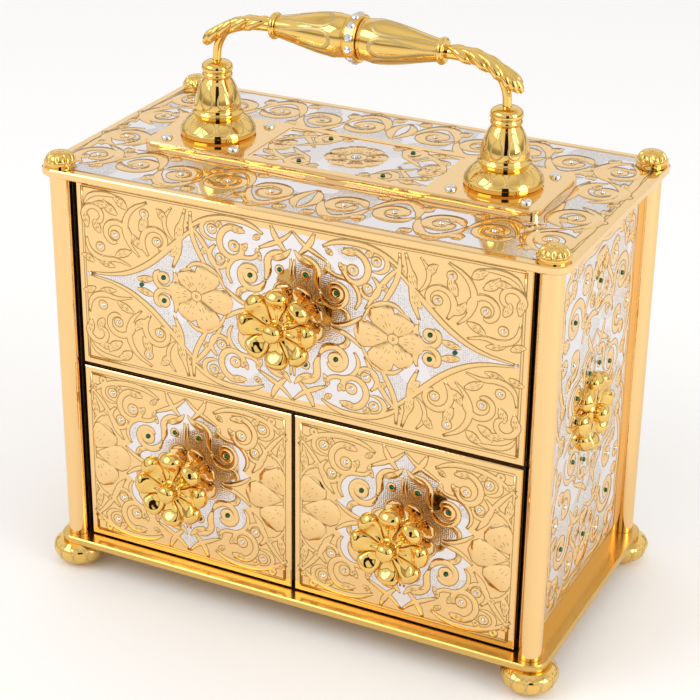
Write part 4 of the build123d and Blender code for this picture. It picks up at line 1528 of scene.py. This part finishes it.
# ---- screws and velvet -----------------------------------------------------------------------
def plate_screws():
    """Domed nickel screws, four round each pedestal."""
    low, high = box_of("plate_screws")
    head = 2.6 * MM
    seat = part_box("handle_plate")[1][2]
    outer = high.x - head
    inner = 2 * middle_of("pedestal_right").x - outer
    dome = flowing(
        [(0, 0, "cusp"), (2.6, 0, "cusp"), (2.6, 0.3, "cusp"), (2.2, 1.05), (1.3, 1.6), (0, 1.8)]
    )
    made = []
    for x in (-outer, -inner, inner, outer):
        for y in (low.y + head, high.y - head):
            screw = smooth(turned("screw", dome, 28))
            made.append(stand_at(screw, (x, y, seat)))
    piece = joined("domed_screws", made)
    dress(piece, "case", "nickel_screw", NICKEL)
    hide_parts("plate_screws")


def velvet_lining(drawer):
    """The tray's velvet: soft edges and a slightly uneven nap over its card."""
    node = f"{drawer}_lining"
    longest_edge = 6 * MM
    nap = 0.25 * MM
    piece = twin(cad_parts[node], f"{drawer}_velvet")
    piece.hide_render = False
    work = bmesh.new()
    work.from_mesh(piece.data)
    bmesh.ops.remove_doubles(work, verts=work.verts, dist=0.00001)
    bmesh.ops.dissolve_limit(work, angle_limit=0.02, verts=work.verts, edges=work.edges)
    for _ in range(5):
        long_edges = [e for e in work.edges if e.calc_length() > longest_edge]
        if long_edges:
            bmesh.ops.subdivide_edges(work, edges=long_edges, cuts=1, use_grid_fill=True)
    bmesh.ops.recalc_face_normals(work, faces=work.faces)
    chance = random.Random(7)
    work.normal_update()
    moves = [v.normal * (chance.random() - 0.7) * nap for v in work.verts]
    for vertex, move in zip(work.verts, moves):
        vertex.co += move
    work.to_mesh(piece.data)
    work.free()
    smooth(piece, 50)
    dress(piece, f"{drawer}_drawer", "wine_velvet", VELVET)
    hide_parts(node)


plate_screws()
for drawer in drawer_names:
    velvet_lining(drawer)


# ---- floor and light -------------------------------------------------------------------
FLOOR_SIZE = 12.0
WORLD_STRENGTH = 0.97
DOORWAY_HEADING = (0.46, -0.888, 0)
DOORWAY_TOP = 0.62
LAMP_TARGET = (0, 0, 0.1)
LAMP_POWER = 7


def pale_floor():
    bpy.ops.object.select_all(action="DESELECT")
    bpy.ops.mesh.primitive_plane_add(size=FLOOR_SIZE, location=(0, 0, 0))
    floor = bpy.context.object
    floor.name = "floor"
    floor.data.materials.append(new_material("white paper", "#FFFFFF", 0.8)[0])


def soft_box(name, place, size):
    bpy.ops.object.light_add(type="AREA", location=place)
    lamp = bpy.context.object
    lamp.name = name
    lamp.data.shape = "RECTANGLE"
    lamp.data.size, lamp.data.size_y = size
    lamp.data.energy = LAMP_POWER
    aim = Vector(LAMP_TARGET) - Vector(place)
    lamp.rotation_euler = aim.to_track_quat("-Z", "Y").to_euler()
    lamp.visible_camera = False


def studio_world():
    """White studio, dim low down, with a narrow dark doorway beside the front."""
    world = bpy.data.worlds.new("studio")
    bpy.context.scene.world = world
    world.use_nodes = True
    tree = world.node_tree
    shade = tree.nodes["Background"]
    direction = add_node(tree, "ShaderNodeTexCoord").outputs["Generated"]
    rise = add_node(tree, "ShaderNodeSeparateXYZ", {"Vector": direction}).outputs["Z"]
    walls = add_node(tree, "ShaderNodeValToRGB", {"Fac": rise})
    wall_tones = (
        (0.0, "#A8A29A"), (1.0, "#FFFFFF"), (0.1, "#B4AEA6"), (0.2, "#FFFFFF"), (0.62, "#FFFFFF"),
        (0.8, "#D8D4CE"),
    )
    set_stops(walls, [(height, paint(code)) for height, code in wall_tones])
    level = add_node(
        tree,
        "ShaderNodeVectorMath",
        {0: direction},
        {1: (1, 1, 0)},
        {"operation": "MULTIPLY"},
    )
    heading = add_node(
        tree, "ShaderNodeVectorMath", {0: level.outputs["Vector"]}, settings={"operation": "NORMALIZE"}
    )
    facing = add_node(
        tree,
        "ShaderNodeVectorMath",
        {0: heading.outputs["Vector"]},
        {1: DOORWAY_HEADING},
        {"operation": "DOT_PRODUCT"},
    )
    doorway = add_node(tree, "ShaderNodeValToRGB", {"Fac": facing.outputs["Value"]})
    set_stops(doorway, ((0.98, (1, 1, 1, 1)), (0.987, paint("#2A1D12"))))
    below = add_node(tree, "ShaderNodeMath", {0: rise}, {1: DOORWAY_TOP}, {"operation": "LESS_THAN"})
    mixed = add_node(
        tree,
        "ShaderNodeMix",
        {"Factor": below.outputs["Value"], "A": walls.outputs["Color"], "B": doorway.outputs["Color"]},
        settings={"data_type": "RGBA", "blend_type": "MULTIPLY"},
    )
    tree.links.new(mixed.outputs[2], shade.inputs["Color"])
    shade.inputs["Strength"].default_value = WORLD_STRENGTH


bpy.context.scene.view_settings.view_transform = "Standard"
pale_floor()
studio_world()
soft_box("key", (-0.9, -1.0, 1.3), (1.0, 0.8))
soft_box("side", (1.4, -0.2, 0.7), (0.6, 1.0))
